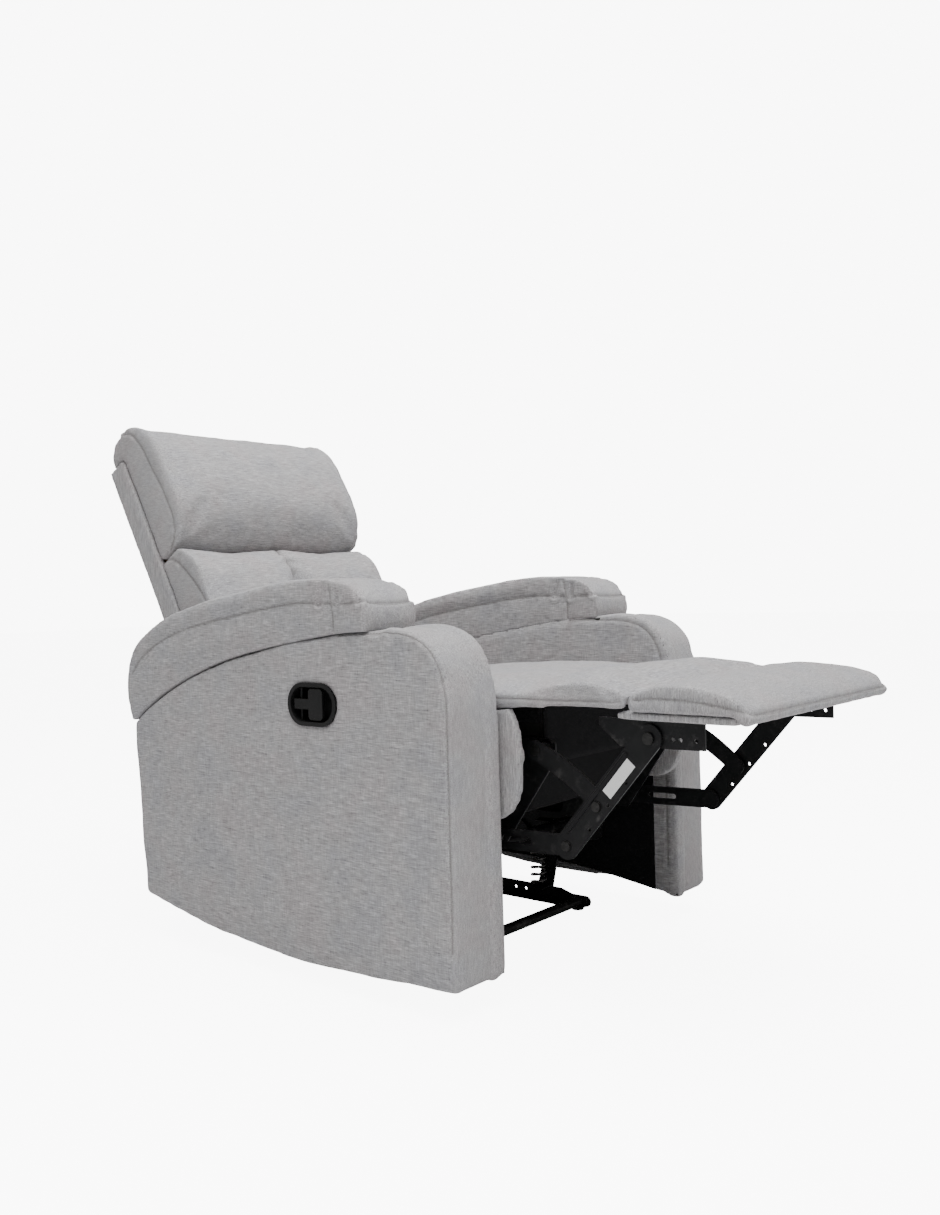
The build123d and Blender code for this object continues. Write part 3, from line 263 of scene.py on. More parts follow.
def black_cloth():
    g = Graph("black_lining_cloth", Sheen_Weight=0.04, Sheen_Roughness=0.5, Specular_IOR_Level=0.1)
    dimples = g.add("TexVoronoi", {"Vector": g.place(), "Scale": 420.0}, feature="F1"), 0
    fibres = g.noise(620.0, (1.0, 0.35, 1.0), 3.0, 0.6)
    tones = (0.3, (0.003, 0.003, 0.0034)), (0.7, (0.011, 0.0105, 0.011))
    g.fill(g.bsdf, {"Base Color": g.ramp(fibres, *tones)})
    g.fill(g.bsdf, {"Roughness": g.ramp(fibres, (0.3, 0.84), (0.7, 0.97))})
    rough = g.bump(fibres, 0.2, 0.0006)
    g.fill(g.bsdf, {"Normal": g.bump(dimples, 0.35, 0.0008, rough)})
    return g.material


def thread():
    g = Graph("sewing_thread", Sheen_Weight=0.2)
    twist = g.noise(1800.0, detail=1.0)
    g.fill(g.bsdf, {"Base Color": g.ramp(twist, (0.3, (0.17, 0.16, 0.155)), (0.7, (0.27, 0.26, 0.25)))})
    g.fill(g.bsdf, {"Roughness": g.ramp(twist, (0.3, 0.6), (0.7, 0.8)), "Normal": g.bump(twist, 0.3, 0.0002)})
    return g.material


def paper():
    g = Graph("blank_paper", IOR=1.4)
    fibres = g.noise(520.0, detail=4.0)
    g.fill(g.bsdf, {"Base Color": g.ramp(fibres, (0.3, (0.70, 0.70, 0.69)), (0.7, (0.82, 0.82, 0.81)))})
    g.fill(g.bsdf, {"Roughness": g.ramp(fibres, (0.3, 0.5), (0.7, 0.65))})
    g.fill(g.bsdf, {"Normal": g.bump(fibres, 0.1, 0.0002)})
    return g.material


BARE_WOOD = (0.25, (0.40, 0.27, 0.16)), (0.55, (0.50, 0.355, 0.22)), (0.85, (0.57, 0.42, 0.28))
# Tones of the black stain; on the arm frames this is partly painted shade, so that the sliver of board
# between pillow and arm top reads as a shadow line.
BLACK_STAIN_AND_SHADE = (0.25, (0.004, 0.0035, 0.003)), (0.55, (0.009, 0.008, 0.007)), (0.85, (0.016, 0.014, 0.012))
FABRIC = [fabric("fabric_" + axis, i) for i, axis in enumerate("xyz")]
LINING_CLOTH = black_cloth()
THREAD = thread()
CAD_LOOKS = {
    "upholstery": FABRIC[1],
    "black_cloth": LINING_CLOTH,
    "black_steel": steel_paint(),
    "bright_steel": metal("dark_steel_plating", (0.045, 0.044, 0.043), 0.42, (90.0, 90.0, 300.0)),
    "spring_steel": metal("spring_wire", (0.16, 0.155, 0.15), 0.42, (260.0, 260.0, 260.0)),
    "wood": wood_grain("wood_grain", *BARE_WOOD),
    "black_plastic": plastic("black_moulded_plastic", 0.006, 0.42, 1500.0, 0.0003),
    "cable_jacket": plastic("black_cable_jacket", 0.015, 0.5, 900.0, 0.0002),
    "label_paper": paper(),
}
for node in NODES.values():
    kind = node.data.materials[0].name.split(".")[0]
    node.data.materials.clear()
    node.data.materials.append(CAD_LOOKS[kind])
# The seat frame and arm frames are stained black; on the arm frames the black is partly painted shade for the
# gap under the pillows.
STAIN_AND_SHADE = wood_grain("black_stain_and_shade_wood", *BLACK_STAIN_AND_SHADE)
for name in ("seat_frame", "arm_frame_left", "arm_frame_right"):
    NODES[name].data.materials[0] = STAIN_AND_SHADE


# ---------------------------------------------------------------- mesh helpers
def points(obj):
    co = np.zeros(len(obj.data.vertices) * 3)
    obj.data.vertices.foreach_get("co", co)
    return co.reshape(-1, 3)


def move(obj, co):
    obj.data.vertices.foreach_set("co", np.asarray(co, float).ravel())
    obj.data.update()


def normals(obj):
    out = np.zeros(len(obj.data.vertices) * 3, np.float32)
    obj.data.vertex_normals.foreach_get("vector", out)
    return out.reshape(-1, 3).astype(float)


def baked(obj):
    """Applies the object's modifiers to its mesh."""
    shaped = obj.evaluated_get(bpy.context.evaluated_depsgraph_get())
    mesh = bpy.data.meshes.new_from_object(shaped)
    obj.modifiers.clear()
    obj.data = mesh


def new_object(name, bm):
    mesh = bpy.data.meshes.new(name)
    bm.to_mesh(mesh)
    bm.free()
    obj = bpy.data.objects.new(name, mesh)
    SCENE.collection.objects.link(obj)
    return obj


def finish_mesh(obj, look):
    obj.data.materials.clear()
    obj.data.materials.append(look)
    obj.data.shade_smooth()


def from_nodes(name, nodes, voxel, side=0, shrink=0.0, down=None):
    """One closed even mesh round the solids of some nodes, on one side of the middle if asked."""
    bm = bmesh.new()
    for n in nodes:
        bm.from_mesh(NODES[n].data)
    bmesh.ops.remove_doubles(bm, verts=bm.verts, dist=1e-6)
    if side:
        bmesh.ops.delete(bm, geom=[v for v in bm.verts if v.co.x * side < 0], context="VERTS")
    obj = new_object(name, bm)
    remesh = obj.modifiers.new("remesh", "REMESH")
    remesh.mode = "VOXEL"
    remesh.voxel_size = voxel
    baked(obj)
    if shrink:
        up = normals(obj)
        amount = np.full(len(up), shrink)
        if down is not None:
            amount *= np.clip((0.8 - up @ np.array(down)) / 0.3, 0, 1)
        move(obj, points(obj) - up * amount[:, None])
    return obj


def relaxed(obj, times, amount=0.5):
    smooth = obj.modifiers.new("smooth", "SMOOTH")
    smooth.iterations = times
    smooth.factor = amount
    baked(obj)


def subdivided(obj):
    subdivision = obj.modifiers.new("subdivision", "SUBSURF")
    subdivision.levels = subdivision.render_levels = 1
    baked(obj)


def spaced(line, step):
    """The line's points with others between them, no further than step apart."""
    out = [Vector(line[0])]
    for a, b in zip(line[:-1], line[1:]):
        count = max(1, round((Vector(b) - Vector(a)).length / step))
        out += [Vector(a).lerp(Vector(b), (i + 1) / count) for i in range(count)]
    return out


def laid_on(obj, line, step=0.008):
    """A line of points brought onto the surface."""
    tree = BVHTree.FromObject(obj, bpy.context.evaluated_depsgraph_get())
    found = [tree.find_nearest(p) for p in spaced(line, step)]
    kept = [(f[0], f[1]) for f in found]
    for _ in range(3):
        middle = [(kept[i - 1][0] + kept[i][0] * 2 + kept[i + 1][0]) / 4 for i in range(1, len(kept) - 1)]
        kept = [kept[0]] + [(tree.find_nearest(m)[0], k[1]) for m, k in zip(middle, kept[1:-1])] + [kept[-1]]
    return kept


def distance(co, line):
    """How far each point is from a line."""
    line = np.array([tuple(p) for p in line])
    out = np.full(len(co), 1.0)
    reach = 0.04
    near = np.all((co > line.min(0) - reach) & (co < line.max(0) + reach), axis=1)
    part = co[near]
    best = np.full(len(part), 1.0)
    for a, b in zip(line[:-1], line[1:]):
        run = b - a
        t = np.clip(((part - a) @ run) / max(run @ run, 1e-12), 0, 1)
        best = np.minimum(best, np.linalg.norm(part - (a + t[:, None] * run), axis=1))
    out[near] = best
    return out


def sewn(obj, lines, depth=0.0017, width=0.0036, shade_weight=1.0):
    """Sinks seams or creases into the surface and marks them with painted shade for the material."""
    co, up = points(obj), normals(obj)
    seam_shade_mark = obj.data.attributes.get("seam") or obj.data.attributes.new("seam", "FLOAT", "POINT")
    values = np.zeros(len(co), np.float32)
    seam_shade_mark.data.foreach_get("value", values)
    sink = np.zeros(len(co))
    for line in lines:
        away = distance(co, [p for p, _ in laid_on(obj, line)])
        sink = np.maximum(sink, depth * np.exp(-((away / width) ** 2)))
        # painted shade: a narrow dark band along the groove, read by the fabric material
        values = np.maximum(values, shade_weight * np.exp(-((away / 0.0019) ** 2)))
    move(obj, co - up * sink[:, None])
    obj.data.attributes["seam"].data.foreach_set("value", values.astype(np.float32))


def pinched(obj, folds):
    """Short tapered folds where the cloth is gathered: (start, end, depth, width)."""
    co, up = points(obj), normals(obj)
    shift = np.zeros(len(co))
    for start, end, depth, width in folds:
        line = [p for p, _ in laid_on(obj, [start, end], 0.006)]
        away = distance(co, line)
        a, b = np.array(line[0]), np.array(line[-1])
        along = np.clip(((co - a) @ (b - a)) / ((b - a) @ (b - a)), 0, 1)
        taper = 1 - 0.85 * along
        groove = -depth * taper * np.exp(-((away / width) ** 2))
        ridge = 0.45 * depth * taper * np.exp(-(((away - 2.2 * width) / width) ** 2))
        shift += groove + ridge
    move(obj, co + up * shift[:, None])


def waved(obj, size, amount, seed, keep=None):
    """Slow uneven swelling, as of stuffing under cloth."""
    co, up = points(obj), normals(obj)
    offset = Vector((seed * 3.1, seed * 1.7, seed * 2.3))
    lift = np.array([noise.noise(Vector(p) / size + offset) for p in co]) * amount
    if keep is not None:
        lift *= keep(co, up)
    move(obj, co + up * lift[:, None])


def stitches(name, obj, lines):
    """Thread along seams, each stitch a short rounded bar half sunk in the cloth."""
    pitch, long, radius = 0.0062, 0.0042, 0.00042
    bm = bmesh.new()
    rings = ((-0.5, 0.35), (-0.38, 1.0), (0.38, 1.0), (0.5, 0.35))
    for line in lines:
        path = laid_on(obj, line, pitch)
        for (p, n), (q, _) in zip(path[:-1], path[1:]):
            along = (q - p).normalized()
            if along.length < 0.5:
                continue
            across = along.cross(n).normalized()
            middle = (p + q) / 2 + n * radius * 0.3
            bar = []
            for share, size in rings:
                ring = []
                for k in range(6):
                    turn = k * math.pi / 3
                    out = across * math.cos(turn) + n * math.sin(turn)
                    ring.append(bm.verts.new(middle + along * share * long + out * radius * size))
                bar.append(ring)
            for low, high in zip(bar[:-1], bar[1:]):
                for k in range(6):
                    bm.faces.new((low[k], low[(k + 1) % 6], high[(k + 1) % 6], high[k]))
            bm.faces.new(bar[0][::-1])
            bm.faces.new(bar[-1])
    thread_piece = new_object(name, bm)
    finish_mesh(thread_piece, THREAD)
    return thread_piece


class Puff:
    """A cushion to be swollen by cloth simulation, held at its seams and where it rests."""

    waiting = []

    def __init__(self, obj, seams, rests, cap, pressure=4.0):
        self.obj, self.cap = obj, cap
        self.start = points(obj)
        hold = np.zeros(len(self.start))
        for line in seams:
            hold[distance(self.start, [p for p, _ in laid_on(obj, line)]) < 0.0045] = 1
        hold[rests(self.start, normals(obj))] = 1
        group = obj.vertex_groups.new(name="held")
        group.add([int(i) for i in np.nonzero(hold)[0]], 1.0, "REPLACE")
        cloth = obj.modifiers.new("cloth", "CLOTH")
        settings = cloth.settings
        settings.vertex_group_mass = "held"
        settings.quality = 4
        settings.mass = 0.3
        settings.tension_stiffness = settings.compression_stiffness = 12
        settings.shear_stiffness = 6
        settings.bending_stiffness = 1.5
        settings.use_pressure = True
        settings.uniform_pressure_force = pressure
        settings.effector_weights.gravity = 0
        cloth.collision_settings.use_collision = False
        Puff.waiting.append(self)

    @classmethod
    def run(cls, last=20):
        if cls.waiting:
            for step in range(1, last + 1):
                SCENE.frame_set(step)
        for puff in cls.waiting:
            baked(puff.obj)
            puff.obj.vertex_groups.clear()
            shift = points(puff.obj) - puff.start
            size = np.linalg.norm(shift, axis=1)[:, None] + 1e-9
            move(puff.obj, puff.start + shift / size * puff.cap * np.tanh(size / puff.cap))
        SCENE.frame_set(1)


def fitted(obj, low=None, high=None):
    """Keeps every point inside planes, given as (x, y, z) limits with None where there is none."""
    co = points(obj)
    for axis in range(3):
        if low and low[axis] is not None:
            co[:, axis] = np.maximum(co[:, axis], low[axis])
        if high and high[axis] is not None:
            co[:, axis] = np.minimum(co[:, axis], high[axis])
    move(obj, co)


def top_of(obj, x, y):
    """The height of the top of a piece at a place, in metres."""
    tree = BVHTree.FromObject(obj, bpy.context.evaluated_depsgraph_get())
    return tree.ray_cast(Vector((x, y, 2)), Vector((0, 0, -1)))[0].z


# ---------------------------------------------------------------- cushions
VOXEL = 0.006
NOSE = 262  # where the pillows' rounded front ends, in millimetres from the arms' front
made = {}
seams = {}

for word, s in SIDES:
    name = "pillow_" + word
    pillow = from_nodes(name, ["arm_pillow_" + word], VOXEL, shrink=0.002, down=(0, 0, -1))
    outer, inner, middle = s * OUTER * 1000, s * INNER * 1000, s * (OUTER + INNER) * 500
    ys = [190, 230, 270, 320, 380, 440, 500, 560, 620, 680, 740, 790, 818]
    edge = [(y, 1000 * (top_of(pillow, middle / 1000, FRONT + max(y, NOSE) / 1000) - 0.040)) for y in ys]
    loop = [at(outer, y, z) for y, z in reversed(edge)]
    nose_line = (outer - s * 12, 172), (middle, 166), (inner + s * 12, 172)
    loop += [at(x, y, edge[0][1] + 2) for x, y in nose_line]
    loop += [at(inner, y, z) for y, z in edge]
    top = 1000 * top_of(pillow, middle / 1000, FRONT + NOSE / 1000)
    low = top - 86
    cap_seam = [at(outer, 244, low), at(outer, 243, top - 40), at(outer - s * 12, 252, top - 14)]
    cap_seam += [at(middle + s * 28, 262, top), at(middle - s * 28, 262, top)]
    cap_seam += [at(inner + s * 12, 252, top - 14), at(inner, 243, top - 40), at(inner, 244, low)]
    seams[name] = [loop, cap_seam]
    made[name] = pillow
    Puff(pillow, seams[name], lambda co, up: up[:, 2] < -0.75, 0.024)

name = "headrest"
headrest = from_nodes(name, ["headrest_cushion"], VOXEL + 0.001, shrink=0.002, down=REAR_BACK)
line = [(12, 649), (-30, 652), (-70, 642), (-90, 620), (-102, 584)]
line += [(-109, 517), (-118, 461), (-119, 403), (-103, 361), (-70, 343)]
seams[name] = [[on_back(s * 259, t, h) for t, h in line] for s in (-1, 1)]
made[name] = headrest
Puff(headrest, seams[name], lambda co, up: (up @ np.array(REAR_BACK)) > 0.8, 0.017)

for word, s in SIDES:
    name = "lumbar_" + word
    lumbar = from_nodes(name, ["lumbar_cushions"], VOXEL + 0.001, side=s, shrink=0.002, down=REAR_BACK)
    line = [(-32, 336), (-60, 332), (-80, 310), (-94, 285), (-111, 233)]
    line += [(-120, 190), (-120, 140), (-105, 90), (-70, 55)]
    seams[name] = [[on_back(s * 259, t, h) for t, h in line]]
    made[name] = lumbar
    Puff(lumbar, seams[name], lambda co, up: (up @ np.array(REAR_BACK)) > 0.8, 0.019)

name = "seat_and_bridge"
seat = from_nodes(name, ["seat_cushion", "bridge_pad"], VOXEL + 0.001, shrink=0.002, down=(0, 0, -1))
side_line = [(-214, 486), (-150, 484), (-90, 483), (-30, 484), (40, 482), (200, 470), (400, 452), (600, 434)]
seams[name] = [[at(s * 261, y, z) for y, z in side_line] for s in (-1, 1)]
made[name] = seat
Puff(seat, seams[name], lambda co, up: up[:, 2] < -0.7, 0.014, 2.4)

name = "foot_cushion"
foot = from_nodes(name, ["footrest_pad"], VOXEL, shrink=0.002, down=(0, 0, -1))
side_line = [(-236, 490), (-268, 492), (-325, 491), (-368, 486), (-400, 481)]
front_line = [(x, -421 if abs(x) > 230 else -424, 476) for x in (-250, -200, -120, -40, 40, 120, 200, 250)]
loop = [at(-261, y, z) for y, z in side_line] + [at(*p) for p in front_line]
loop += [at(261, y, z) for y, z in reversed(side_line)]
seams[name] = [loop]
made[name] = foot
Puff(foot, seams[name], lambda co, up: up[:, 2] < -0.7, 0.016, 2.4)

Puff.run()

SIDE_ROOM = LINING - 0.0026
CALM = {"headrest": 14, "lumbar": 7, "seat": 9, "foot": 5, "pillow": 1}
for name, piece in made.items():
    relaxed(piece, CALM[name.split("_")[0]])
    if name.startswith(("seat", "foot", "headrest", "lumbar")):
        fitted(piece, (-SIDE_ROOM, None, None), (SIDE_ROOM, None, None))
    if name == "lumbar_left":
        fitted(piece, (0.0006, None, None))
    if name == "lumbar_right":
        fitted(piece, None, (-0.0006, None, None))
    subdivided(piece)

GRAIN = {"pillow": 1, "headrest": 0, "lumbar": 0, "seat": 0, "foot": 2}
BODY = {"pillow": "chair", "headrest": "back", "lumbar": "back", "foot": "footrest"}
STANDS_FOR = {
    "pillow_left": ["arm_pillow_left"],
    "pillow_right": ["arm_pillow_right"],
    "headrest": ["headrest_cushion"],
    "lumbar_left": ["lumbar_cushions"],
    "lumbar_right": ["lumbar_cushions"],
    "seat_and_bridge": ["seat_cushion", "bridge_pad"],
    "foot_cushion": ["footrest_pad"],
}


def folds_of(name):
    """The gathers that each cushion shows near its seams."""
    out = []
    if name.startswith("pillow"):
        s = 1 if name.endswith("left") else -1
        loop, cap_seam = seams[name]
        top = cap_seam[3].z * 1000
        for face, t in ((s * OUTER * 1000, 1), (s * INNER * 1000, -1)):
            inward = -s * t * 14
            out += [
                (at(face, 236, top - 38), at(face + inward, 230, top - 8), 0.0062, 0.0056),
                (at(face, 276, top - 38), at(face + inward, 266, top - 8), 0.0050, 0.0050),
                (at(face, 180, top - 34), at(face + inward, 192, top - 10), 0.0040, 0.0050),
                (at(face, 330, top - 46), at(face, 352, top - 78), 0.0016, 0.0075),
                (at(face, 430, top - 64), at(face, 470, top - 96), 0.0014, 0.0080),
                (at(face, 250, top - 46), at(face, 272, top - 74), 0.0018, 0.0060),
            ]
    if name == "headrest":
        for s in (-1, 1):
            out += [
                (on_back(s * 259, -72, 642), on_back(s * 246, -46, 650), 0.0018, 0.0060),
                (on_back(s * 259, -92, 618), on_back(s * 238, -104, 628), 0.0018, 0.0060),
                (on_back(s * 259, -40, 652), on_back(s * 262, -22, 610), 0.0026, 0.0060),
                (on_back(s * 259, -112, 372), on_back(s * 232, -130, 384), 0.0016, 0.0070),
                (on_back(s * 250, -108, 352), on_back(s * 222, -126, 362), 0.0014, 0.0075),
            ]
        for x, lean in ((-170, 14), (-96, -10), (-22, 8), (58, -12), (130, 10), (196, -14)):
            out.append((on_back(x, -118, 348), on_back(x + lean, -142, 398), 0.0014, 0.0110))
    if name.startswith("lumbar"):
        s = 1 if name.endswith("left") else -1
        out += [
            (on_back(s * 4, -118, 318), on_back(s * 46, -128, 306), 0.0036, 0.0080),
            (on_back(s * 4, -126, 286), on_back(s * 40, -132, 266), 0.0026, 0.0080),
            (on_back(s * 259, -84, 306), on_back(s * 236, -102, 318), 0.0028, 0.0060),
            (on_back(s * 4, -128, 220), on_back(s * 52, -132, 196), 0.0020, 0.0090),
        ]
    if name == "seat_and_bridge":
        for x, lean in ((-214, 18), (-140, -12), (-60, 10), (24, -8), (108, 14), (188, -16)):
            out.append((at(x, -222, 500), at(x + lean, -170, 516), 0.0016, 0.0100))
        for s in (-1, 1):
            out.append((at(s * 261, -200, 492), at(s * 240, -170, 510), 0.0026, 0.0070))
    if name == "foot_cushion":
        for x, lean in ((-222, -14), (-150, 16), (-70, -10), (14, 12), (96, -14), (180, 16), (232, 10)):
            out.append((at(x, -232, 500), at(x + lean, -282, 514), 0.0016, 0.0105))
        for s in (-1, 1):
            out += [
                (at(s * 259, -412, 486), at(s * 238, -392, 504), 0.0028, 0.0065),
                (at(s * 250, -420, 482), at(s * 220, -408, 500), 0.0024, 0.0070),
                (at(s * 261, -244, 492), at(s * 240, -266, 508), 0.0030, 0.0070),
            ]
    return out


for number, (name, piece) in enumerate(made.items()):
    stem = name.split("_")[0]
    waved(piece, 0.075, 0.0022, number + 1, lambda co, up: np.clip(up[:, 2] + 0.9, 0, 1))
    waved(piece, 0.022, 0.0006, number + 21)
    pinched(piece, folds_of(name))
    sewn(piece, seams[name])
    finish_mesh(piece, FABRIC[GRAIN[stem]])
    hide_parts(*STANDS_FOR[name])
    threads = stitches("stitching_" + name, piece, seams[name])
    if stem == "seat":
        for part in (piece, threads):
            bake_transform(part)
    else:
        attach(piece, BODY[stem])
        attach(threads, BODY[stem])


# ---------------------------------------------------------------- upholstered panels
def arm(word, s):
    """The padded arm: one cloth skin over cover, board edges and inner face."""
    nodes = ["arm_cover_" + word, "arm_frame_" + word, "arm_lining_" + word]
    piece = from_nodes("arm_" + word, nodes, 0.0068)
    relaxed(piece, 3)
    co, up = points(piece), normals(piece)
    cavity = (up[:, 0] * s > 0.5) & (np.abs(np.abs(co[:, 0]) - BOARD_FACE) < 0.006)
    co[cavity, 0] = s * (BOARD_FACE - 0.003)
    edge = (np.abs(co[:, 0]) < BOARD_FACE + 0.012) & (np.abs(up[:, 0]) < 0.75) & ~cavity
    outline = up * np.array((0, 1, 1))
    co[edge] += 0.0046 * outline[edge]
    move(piece, co)
    subdivided(piece)

    def calm(co, up):
        near_cup = np.ones(len(co))
        if s < 0:
            lo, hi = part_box("handle_cup")
            across = np.abs(co[:, 1] - (lo.y + hi.y) / 2) - 0.058
            away = np.maximum(across, np.abs(co[:, 2] - (lo.z + hi.z) / 2) - 0.036)
            near_cup = np.clip((away - 0.004) / 0.03, 0, 1)
        face = np.clip((np.abs(co[:, 0]) - 0.292) / 0.02, 0, 1)
        return near_cup * face * (np.abs(up[:, 0]) > 0.02)

    waved(piece, 0.13, 0.0034, 40 + s, calm)
    waved(piece, 0.035, 0.0007, 44 + s, calm)
    outer_edge = [(240, 592), (170, 594), (113, 591), (92, 589), (64, 582), (39, 568), (22, 547)]
    outer_edge += [(12, 523), (7, 497), (6, 463), (6, 400), (6, 300), (6, 200), (7, 110)]
    inner_edge = [(240, 588), (170, 590), (106, 587), (71, 579), (48, 564), (32, 540), (22, 512)]
    inner_edge += [(18, z) for z in (480, 400, 300, 200, 110)]
    outside, inside = s * 388, s * 267  # where the two seams run
    lines = [[at(x, y, z) for y, z in edge] for x, edge in ((outside, outer_edge), (inside, inner_edge))]
    sewn(piece, lines)
    folds = [
        (at(outside, 150, 590), at(outside, 196, 560), 0.0030, 0.0110),
        (at(outside, 12, 520), at(outside, 60, 500), 0.0016, 0.0120),
        (at(outside, 118, 590), at(outside, 130, 572), 0.0026, 0.0080),
        (at(outside, 60, 104), at(outside, 84, 150), 0.0020, 0.0110),
        (at(outside, 480, 112), at(outside, 520, 168), 0.0016, 0.0140),
        (at(outside, 700, 118), at(outside, 660, 180), 0.0018, 0.0140),
    ]
    pinched(piece, folds)
    finish_mesh(piece, FABRIC[1])
    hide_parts("arm_cover_" + word)
    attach(piece, "chair")
    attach(stitches("stitching_arm_" + word, piece, lines), "chair")


for word, s in SIDES:
    arm(word, s)

shell = from_nodes("back_outer_panel", ["back_shell"], 0.0065)
relaxed(shell, 3)
subdivided(shell)
waved(shell, 0.14, 0.0026, 51, lambda co, up: np.clip(up @ np.array(REAR_BACK) * 1.2, 0, 1))
shell_lines = [[on_back(s * 256, 27, h) for h in (-20, 80, 200, 320, 440, 560, 594)] for s in (-1, 1)]
shell_lines += [[on_back(x, 27, 592) for x in (-256, -160, -60, 60, 160, 256)]]
sewn(shell, shell_lines)
finish_mesh(shell, FABRIC[2])
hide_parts("back_shell")
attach(shell, "back")
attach(stitches("stitching_back_outer_panel", shell, shell_lines), "back")

for word, s in SIDES:
    panel = from_nodes("seat_side_" + word, ["seat_side_panels"], 0.005, side=s)
    relaxed(panel, 3)
    subdivided(panel)
    waved(panel, 0.06, 0.0010, 60 + s)
    finish_mesh(panel, FABRIC[2])
    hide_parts("seat_side_panels")
    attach(panel, "seat")

board = from_nodes("foot_board_wrap", ["footrest_board"], 0.004)
relaxed(board, 4)
subdivided(board)
waved(board, 0.05, 0.0007, 71)
hem = [[at(x, y, 458) for x in (-246, -120, 0, 120, 246)] for y in (-396, -208)]
sewn(board, hem, 0.0012)
finish_mesh(board, FABRIC[2])
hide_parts("footrest_board")
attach(board, "footrest")
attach(stitches("stitching_foot_board", board, hem), "footrest")


# ---------------------------------------------------------------- rocker springs
COIL_LO, COIL_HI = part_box("rocker_springs")
COIL_RADIUS, WIRE, COIL_TURNS = 0.015, 0.0026, 6


def coil(name, x, y):
    """A coil spring standing on the base, up to the top of the rocker springs' box."""
    sides, steps = 10, 24
    low, rise = COIL_LO.z + WIRE, COIL_HI.z - COIL_LO.z - 2 * WIRE
    bm = bmesh.new()
    rings = []
    for k in range(COIL_TURNS * steps + 1):
        turn = 2 * math.pi * k / steps
        out = Vector((math.cos(turn), math.sin(turn), 0))
        middle = Vector((x, y, low + rise * k / (COIL_TURNS * steps))) + out * COIL_RADIUS
        ring = []
        for j in range(sides):
            a = 2 * math.pi * j / sides
            ring.append(bm.verts.new(middle + WIRE * (out * math.cos(a) + Vector((0, 0, math.sin(a))))))
        rings.append(ring)
    for a, b in zip(rings[:-1], rings[1:]):
        for j in range(sides):
            bm.faces.new((a[j], a[(j + 1) % sides], b[(j + 1) % sides], b[j]))
    bm.faces.new(rings[0][::-1])
    bm.faces.new(rings[-1])
    bmesh.ops.recalc_face_normals(bm, faces=bm.faces[:])
    spring = new_object(name, bm)
    finish_mesh(spring, CAD_LOOKS["spring_steel"])
    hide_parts("rocker_springs")
    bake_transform(spring)


COIL_OUT = COIL_RADIUS + WIRE
for word, s in SIDES:
    for place, y in (("front", COIL_LO.y + COIL_OUT), ("rear", COIL_HI.y - COIL_OUT)):
        coil(f"rocker_spring_{place}_{word}", s * (COIL_HI.x - COIL_OUT), y)


# ---------------------------------------------------------------- lining sheets
def gridded(node, step):
    """A copy of a thin CAD sheet cut into a grid, so that it can be shaped."""
    bm = bmesh.new()
    bm.from_mesh(NODES[node].data)
    bmesh.ops.remove_doubles(bm, verts=bm.verts, dist=1e-6)
    lo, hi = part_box(node)
    for axis in range(3):
        normal = Vector([float(i == axis) for i in range(3)])
        count = int((hi[axis] - lo[axis]) / step)
        for k in range(1, count):
            everything = bm.verts[:] + bm.edges[:] + bm.faces[:]
            place = lo + (hi - lo) * (k / count)
            bmesh.ops.bisect_plane(bm, geom=everything, dist=1e-5, plane_co=place, plane_no=normal)
    return bm


for word, s in SIDES:
    node = "arm_lining_" + word
    bm = gridded(node, 0.016)
    cut = [((0, FRONT + 0.046, 0), (0, -1, 0)), ((0, 0, 0.440), (0, 0, 1))]
    for place, way in cut:
        everything = bm.verts[:] + bm.edges[:] + bm.faces[:]
        bmesh.ops.bisect_plane(bm, geom=everything, dist=1e-5, plane_co=place, plane_no=way, clear_outer=True)
        bmesh.ops.holes_fill(bm, edges=[e for e in bm.edges if e.is_boundary], sides=0)
    for v in bm.verts:
        depth = (abs(v.co.x) - LINING) / 0.005
        ripple = 0.5 + 0.5 * noise.noise(Vector(v.co) / 0.06)
        v.co.x = s * (LINING - 0.0017 + depth * 0.0009 + ripple * 0.0004)
    lining = new_object("inner_lining_" + word, bm)
    finish_mesh(lining, LINING_CLOTH)
    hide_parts(node)
    width, length = np.ptp(points(lining), axis=0)[[2, 1]]
    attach(lining, "chair")

bm = gridded("seat_dust_cover", 0.02)
for v in bm.verts:
    share = 1 - (v.co.x / 0.16) ** 2
    v.co.z += -0.0030 * share * (0.6 + 0.4 * noise.noise(Vector((v.co.x, v.co.y, 0)) / 0.08))
dust = new_object("seat_dust_sheet", bm)
finish_mesh(dust, LINING_CLOTH)
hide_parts("seat_dust_cover")
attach(dust, "seat")


def side_strip(word, s):
    """Black cloth tape along the top of the seat frame's side, over the steel plate."""
    rail_lo, rail_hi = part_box("seat_frame")
    top, low = rail_hi.z - 0.002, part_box("seat_side_plates")[1].z + 0.001
    length, rows, columns = 0.26, 4, 26
    fall = math.tan(math.radians(5))
    bm = bmesh.new()
    grid = []
    for r in range(rows + 1):
        line = []
        for c in range(columns + 1):
            y = rail_lo.y - 0.0005 + length * c / columns
            height = top - (top - low) * r / rows - max(0, y - FRONT) * fall * (1 - r / rows) * 0.9
            wave = 0.0007 * noise.noise(Vector((s, y, height)) / 0.02)
            line.append(bm.verts.new((s * (rail_hi.x + 0.0012 + wave), y, height)))
        grid.append(line)
    for a, b in zip(grid[:-1], grid[1:]):
        for c in range(columns):
            bm.faces.new((a[c], a[c + 1], b[c + 1], b[c]))
    bmesh.ops.recalc_face_normals(bm, faces=bm.faces[:])
    tape = new_object("seat_frame_tape_" + word, bm)
    thick = tape.modifiers.new("thick", "SOLIDIFY")
    thick.thickness = 0.0008
    thick.offset = 0
    baked(tape)
    finish_mesh(tape, LINING_CLOTH)
    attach(tape, "seat")


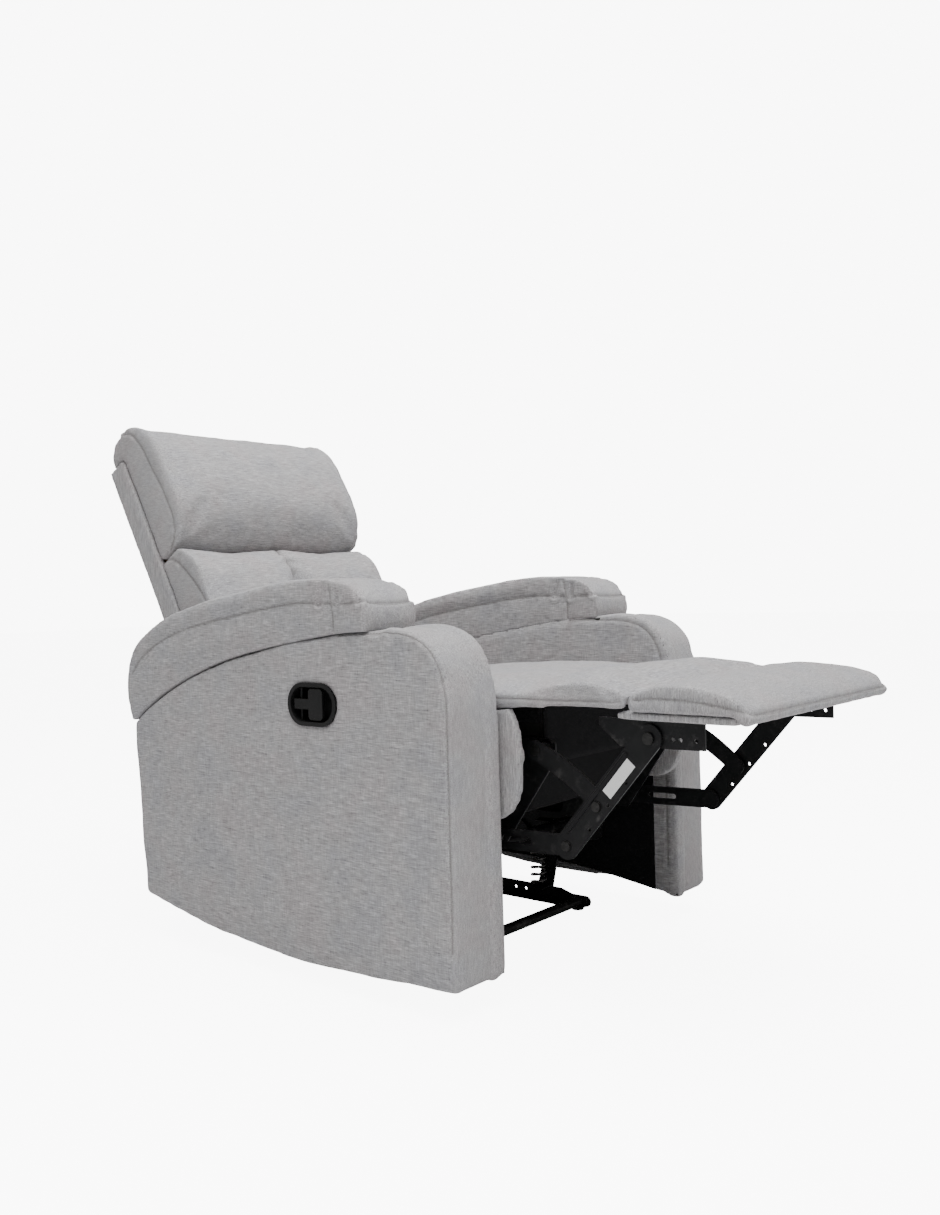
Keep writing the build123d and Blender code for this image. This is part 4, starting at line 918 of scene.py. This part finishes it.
def skirt():
    """Black cloth drawn over the front rail of the seat frame and tucked under it."""
    rail_lo, rail_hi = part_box("seat_frame")
    front, top, low = rail_lo.y - 0.0018, rail_hi.z - 0.001, rail_lo.z + 0.028
    path = spaced([(0, front + 0.001, top), (0, front, low), (0, front + 0.030, low - 0.006)], 0.012)
    half, across = rail_hi.x - 0.001, 30
    bm = bmesh.new()
    rows = []
    for k, p in enumerate(path):
        row = []
        for i in range(across + 1):
            x = -half + 2 * half * i / across
            wave = 0.0016 * noise.noise(Vector((x, p.z, k * 0.002)) / 0.035)
            row.append(bm.verts.new((x, p.y - 0.0012 + min(0, wave), p.z)))
        rows.append(row)
    for a, b in zip(rows[:-1], rows[1:]):
        for i in range(across):
            bm.faces.new((a[i], a[i + 1], b[i + 1], b[i]))
    bmesh.ops.recalc_face_normals(bm, faces=bm.faces[:])
    cloth = new_object("seat_front_skirt", bm)
    thick = cloth.modifiers.new("thick", "SOLIDIFY")
    thick.thickness = 0.0008
    thick.offset = 0
    baked(cloth)
    finish_mesh(cloth, LINING_CLOTH)
    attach(cloth, "seat")


skirt()
for word, s in SIDES:
    side_strip(word, s)


# ---------------------------------------------------------------- studio
FLOOR_GLOW = 8.3  # what the camera sees of the floor, over what lights it
WORLD_LIGHT = 0.31  # what lights the object
WORLD_SEEN = 9.0  # what the camera sees behind it


def studio():
    bm = bmesh.new()
    bmesh.ops.create_grid(bm, x_segments=24, y_segments=24, size=24.0)
    floor = new_object("studio_floor", bm)
    g = Graph("studio_floor_paint")
    tone = g.noise(3.0, detail=3.0)
    g.fill(g.bsdf, {"Base Color": g.ramp(tone, (0.3, (0.86, 0.86, 0.865)), (0.7, (0.88, 0.88, 0.885)))})
    g.fill(g.bsdf, {"Roughness": g.ramp(tone, (0.3, 0.8), (0.7, 0.9))})
    output = next(n for n in g.tree.nodes if n.type == "OUTPUT_MATERIAL")
    glow = g.add("Emission", {"Color": rgb(1, 1, 1), "Strength": FLOOR_GLOW})
    both = g.add("AddShader", {"_0": (g.bsdf, 0), "_1": (glow, 0)})
    seen = g.add("LightPath"), "Is Camera Ray"
    g.fill(output, {"Surface": (g.add("MixShader", {"_0": seen, "_1": (g.bsdf, 0), "_2": (both, 0)}), 0)})
    floor.data.materials.append(g.material)
    world = SCENE.world or bpy.data.worlds.new("studio")
    SCENE.world = world
    world.use_nodes = True
    background = world.node_tree.nodes.get("Background")
    background.inputs[0].default_value = (1.0, 1.0, 1.0, 1)
    tree = world.node_tree
    path = tree.nodes.new("ShaderNodeLightPath")
    level = tree.nodes.new("ShaderNodeMapRange")
    level.inputs["To Min"].default_value = WORLD_LIGHT
    level.inputs["To Max"].default_value = WORLD_SEEN
    tree.links.new(path.outputs["Is Camera Ray"], level.inputs["Value"])
    tree.links.new(level.outputs[0], background.inputs[1])
    aim = Vector((0, 0.05, 0.5))
    lights = (
        ("key", Vector((-1.6, -1.4, 3.4)), 3.0, 84),
        ("front", Vector((-1.4, -4.0, 1.8)), 2.6, 11),
        ("top", Vector((0.2, -0.4, 3.8)), 3.4, 172),
    )
    for name, place, size, power in lights:
        data = bpy.data.lights.new(name, "AREA")
        data.shape = "DISK"
        data.size = size
        data.energy = power
        lamp = bpy.data.objects.new(name, data)
        SCENE.collection.objects.link(lamp)
        lamp.location = place
        lamp.rotation_euler = (aim - place).to_track_quat("-Z", "Y").to_euler()


studio()
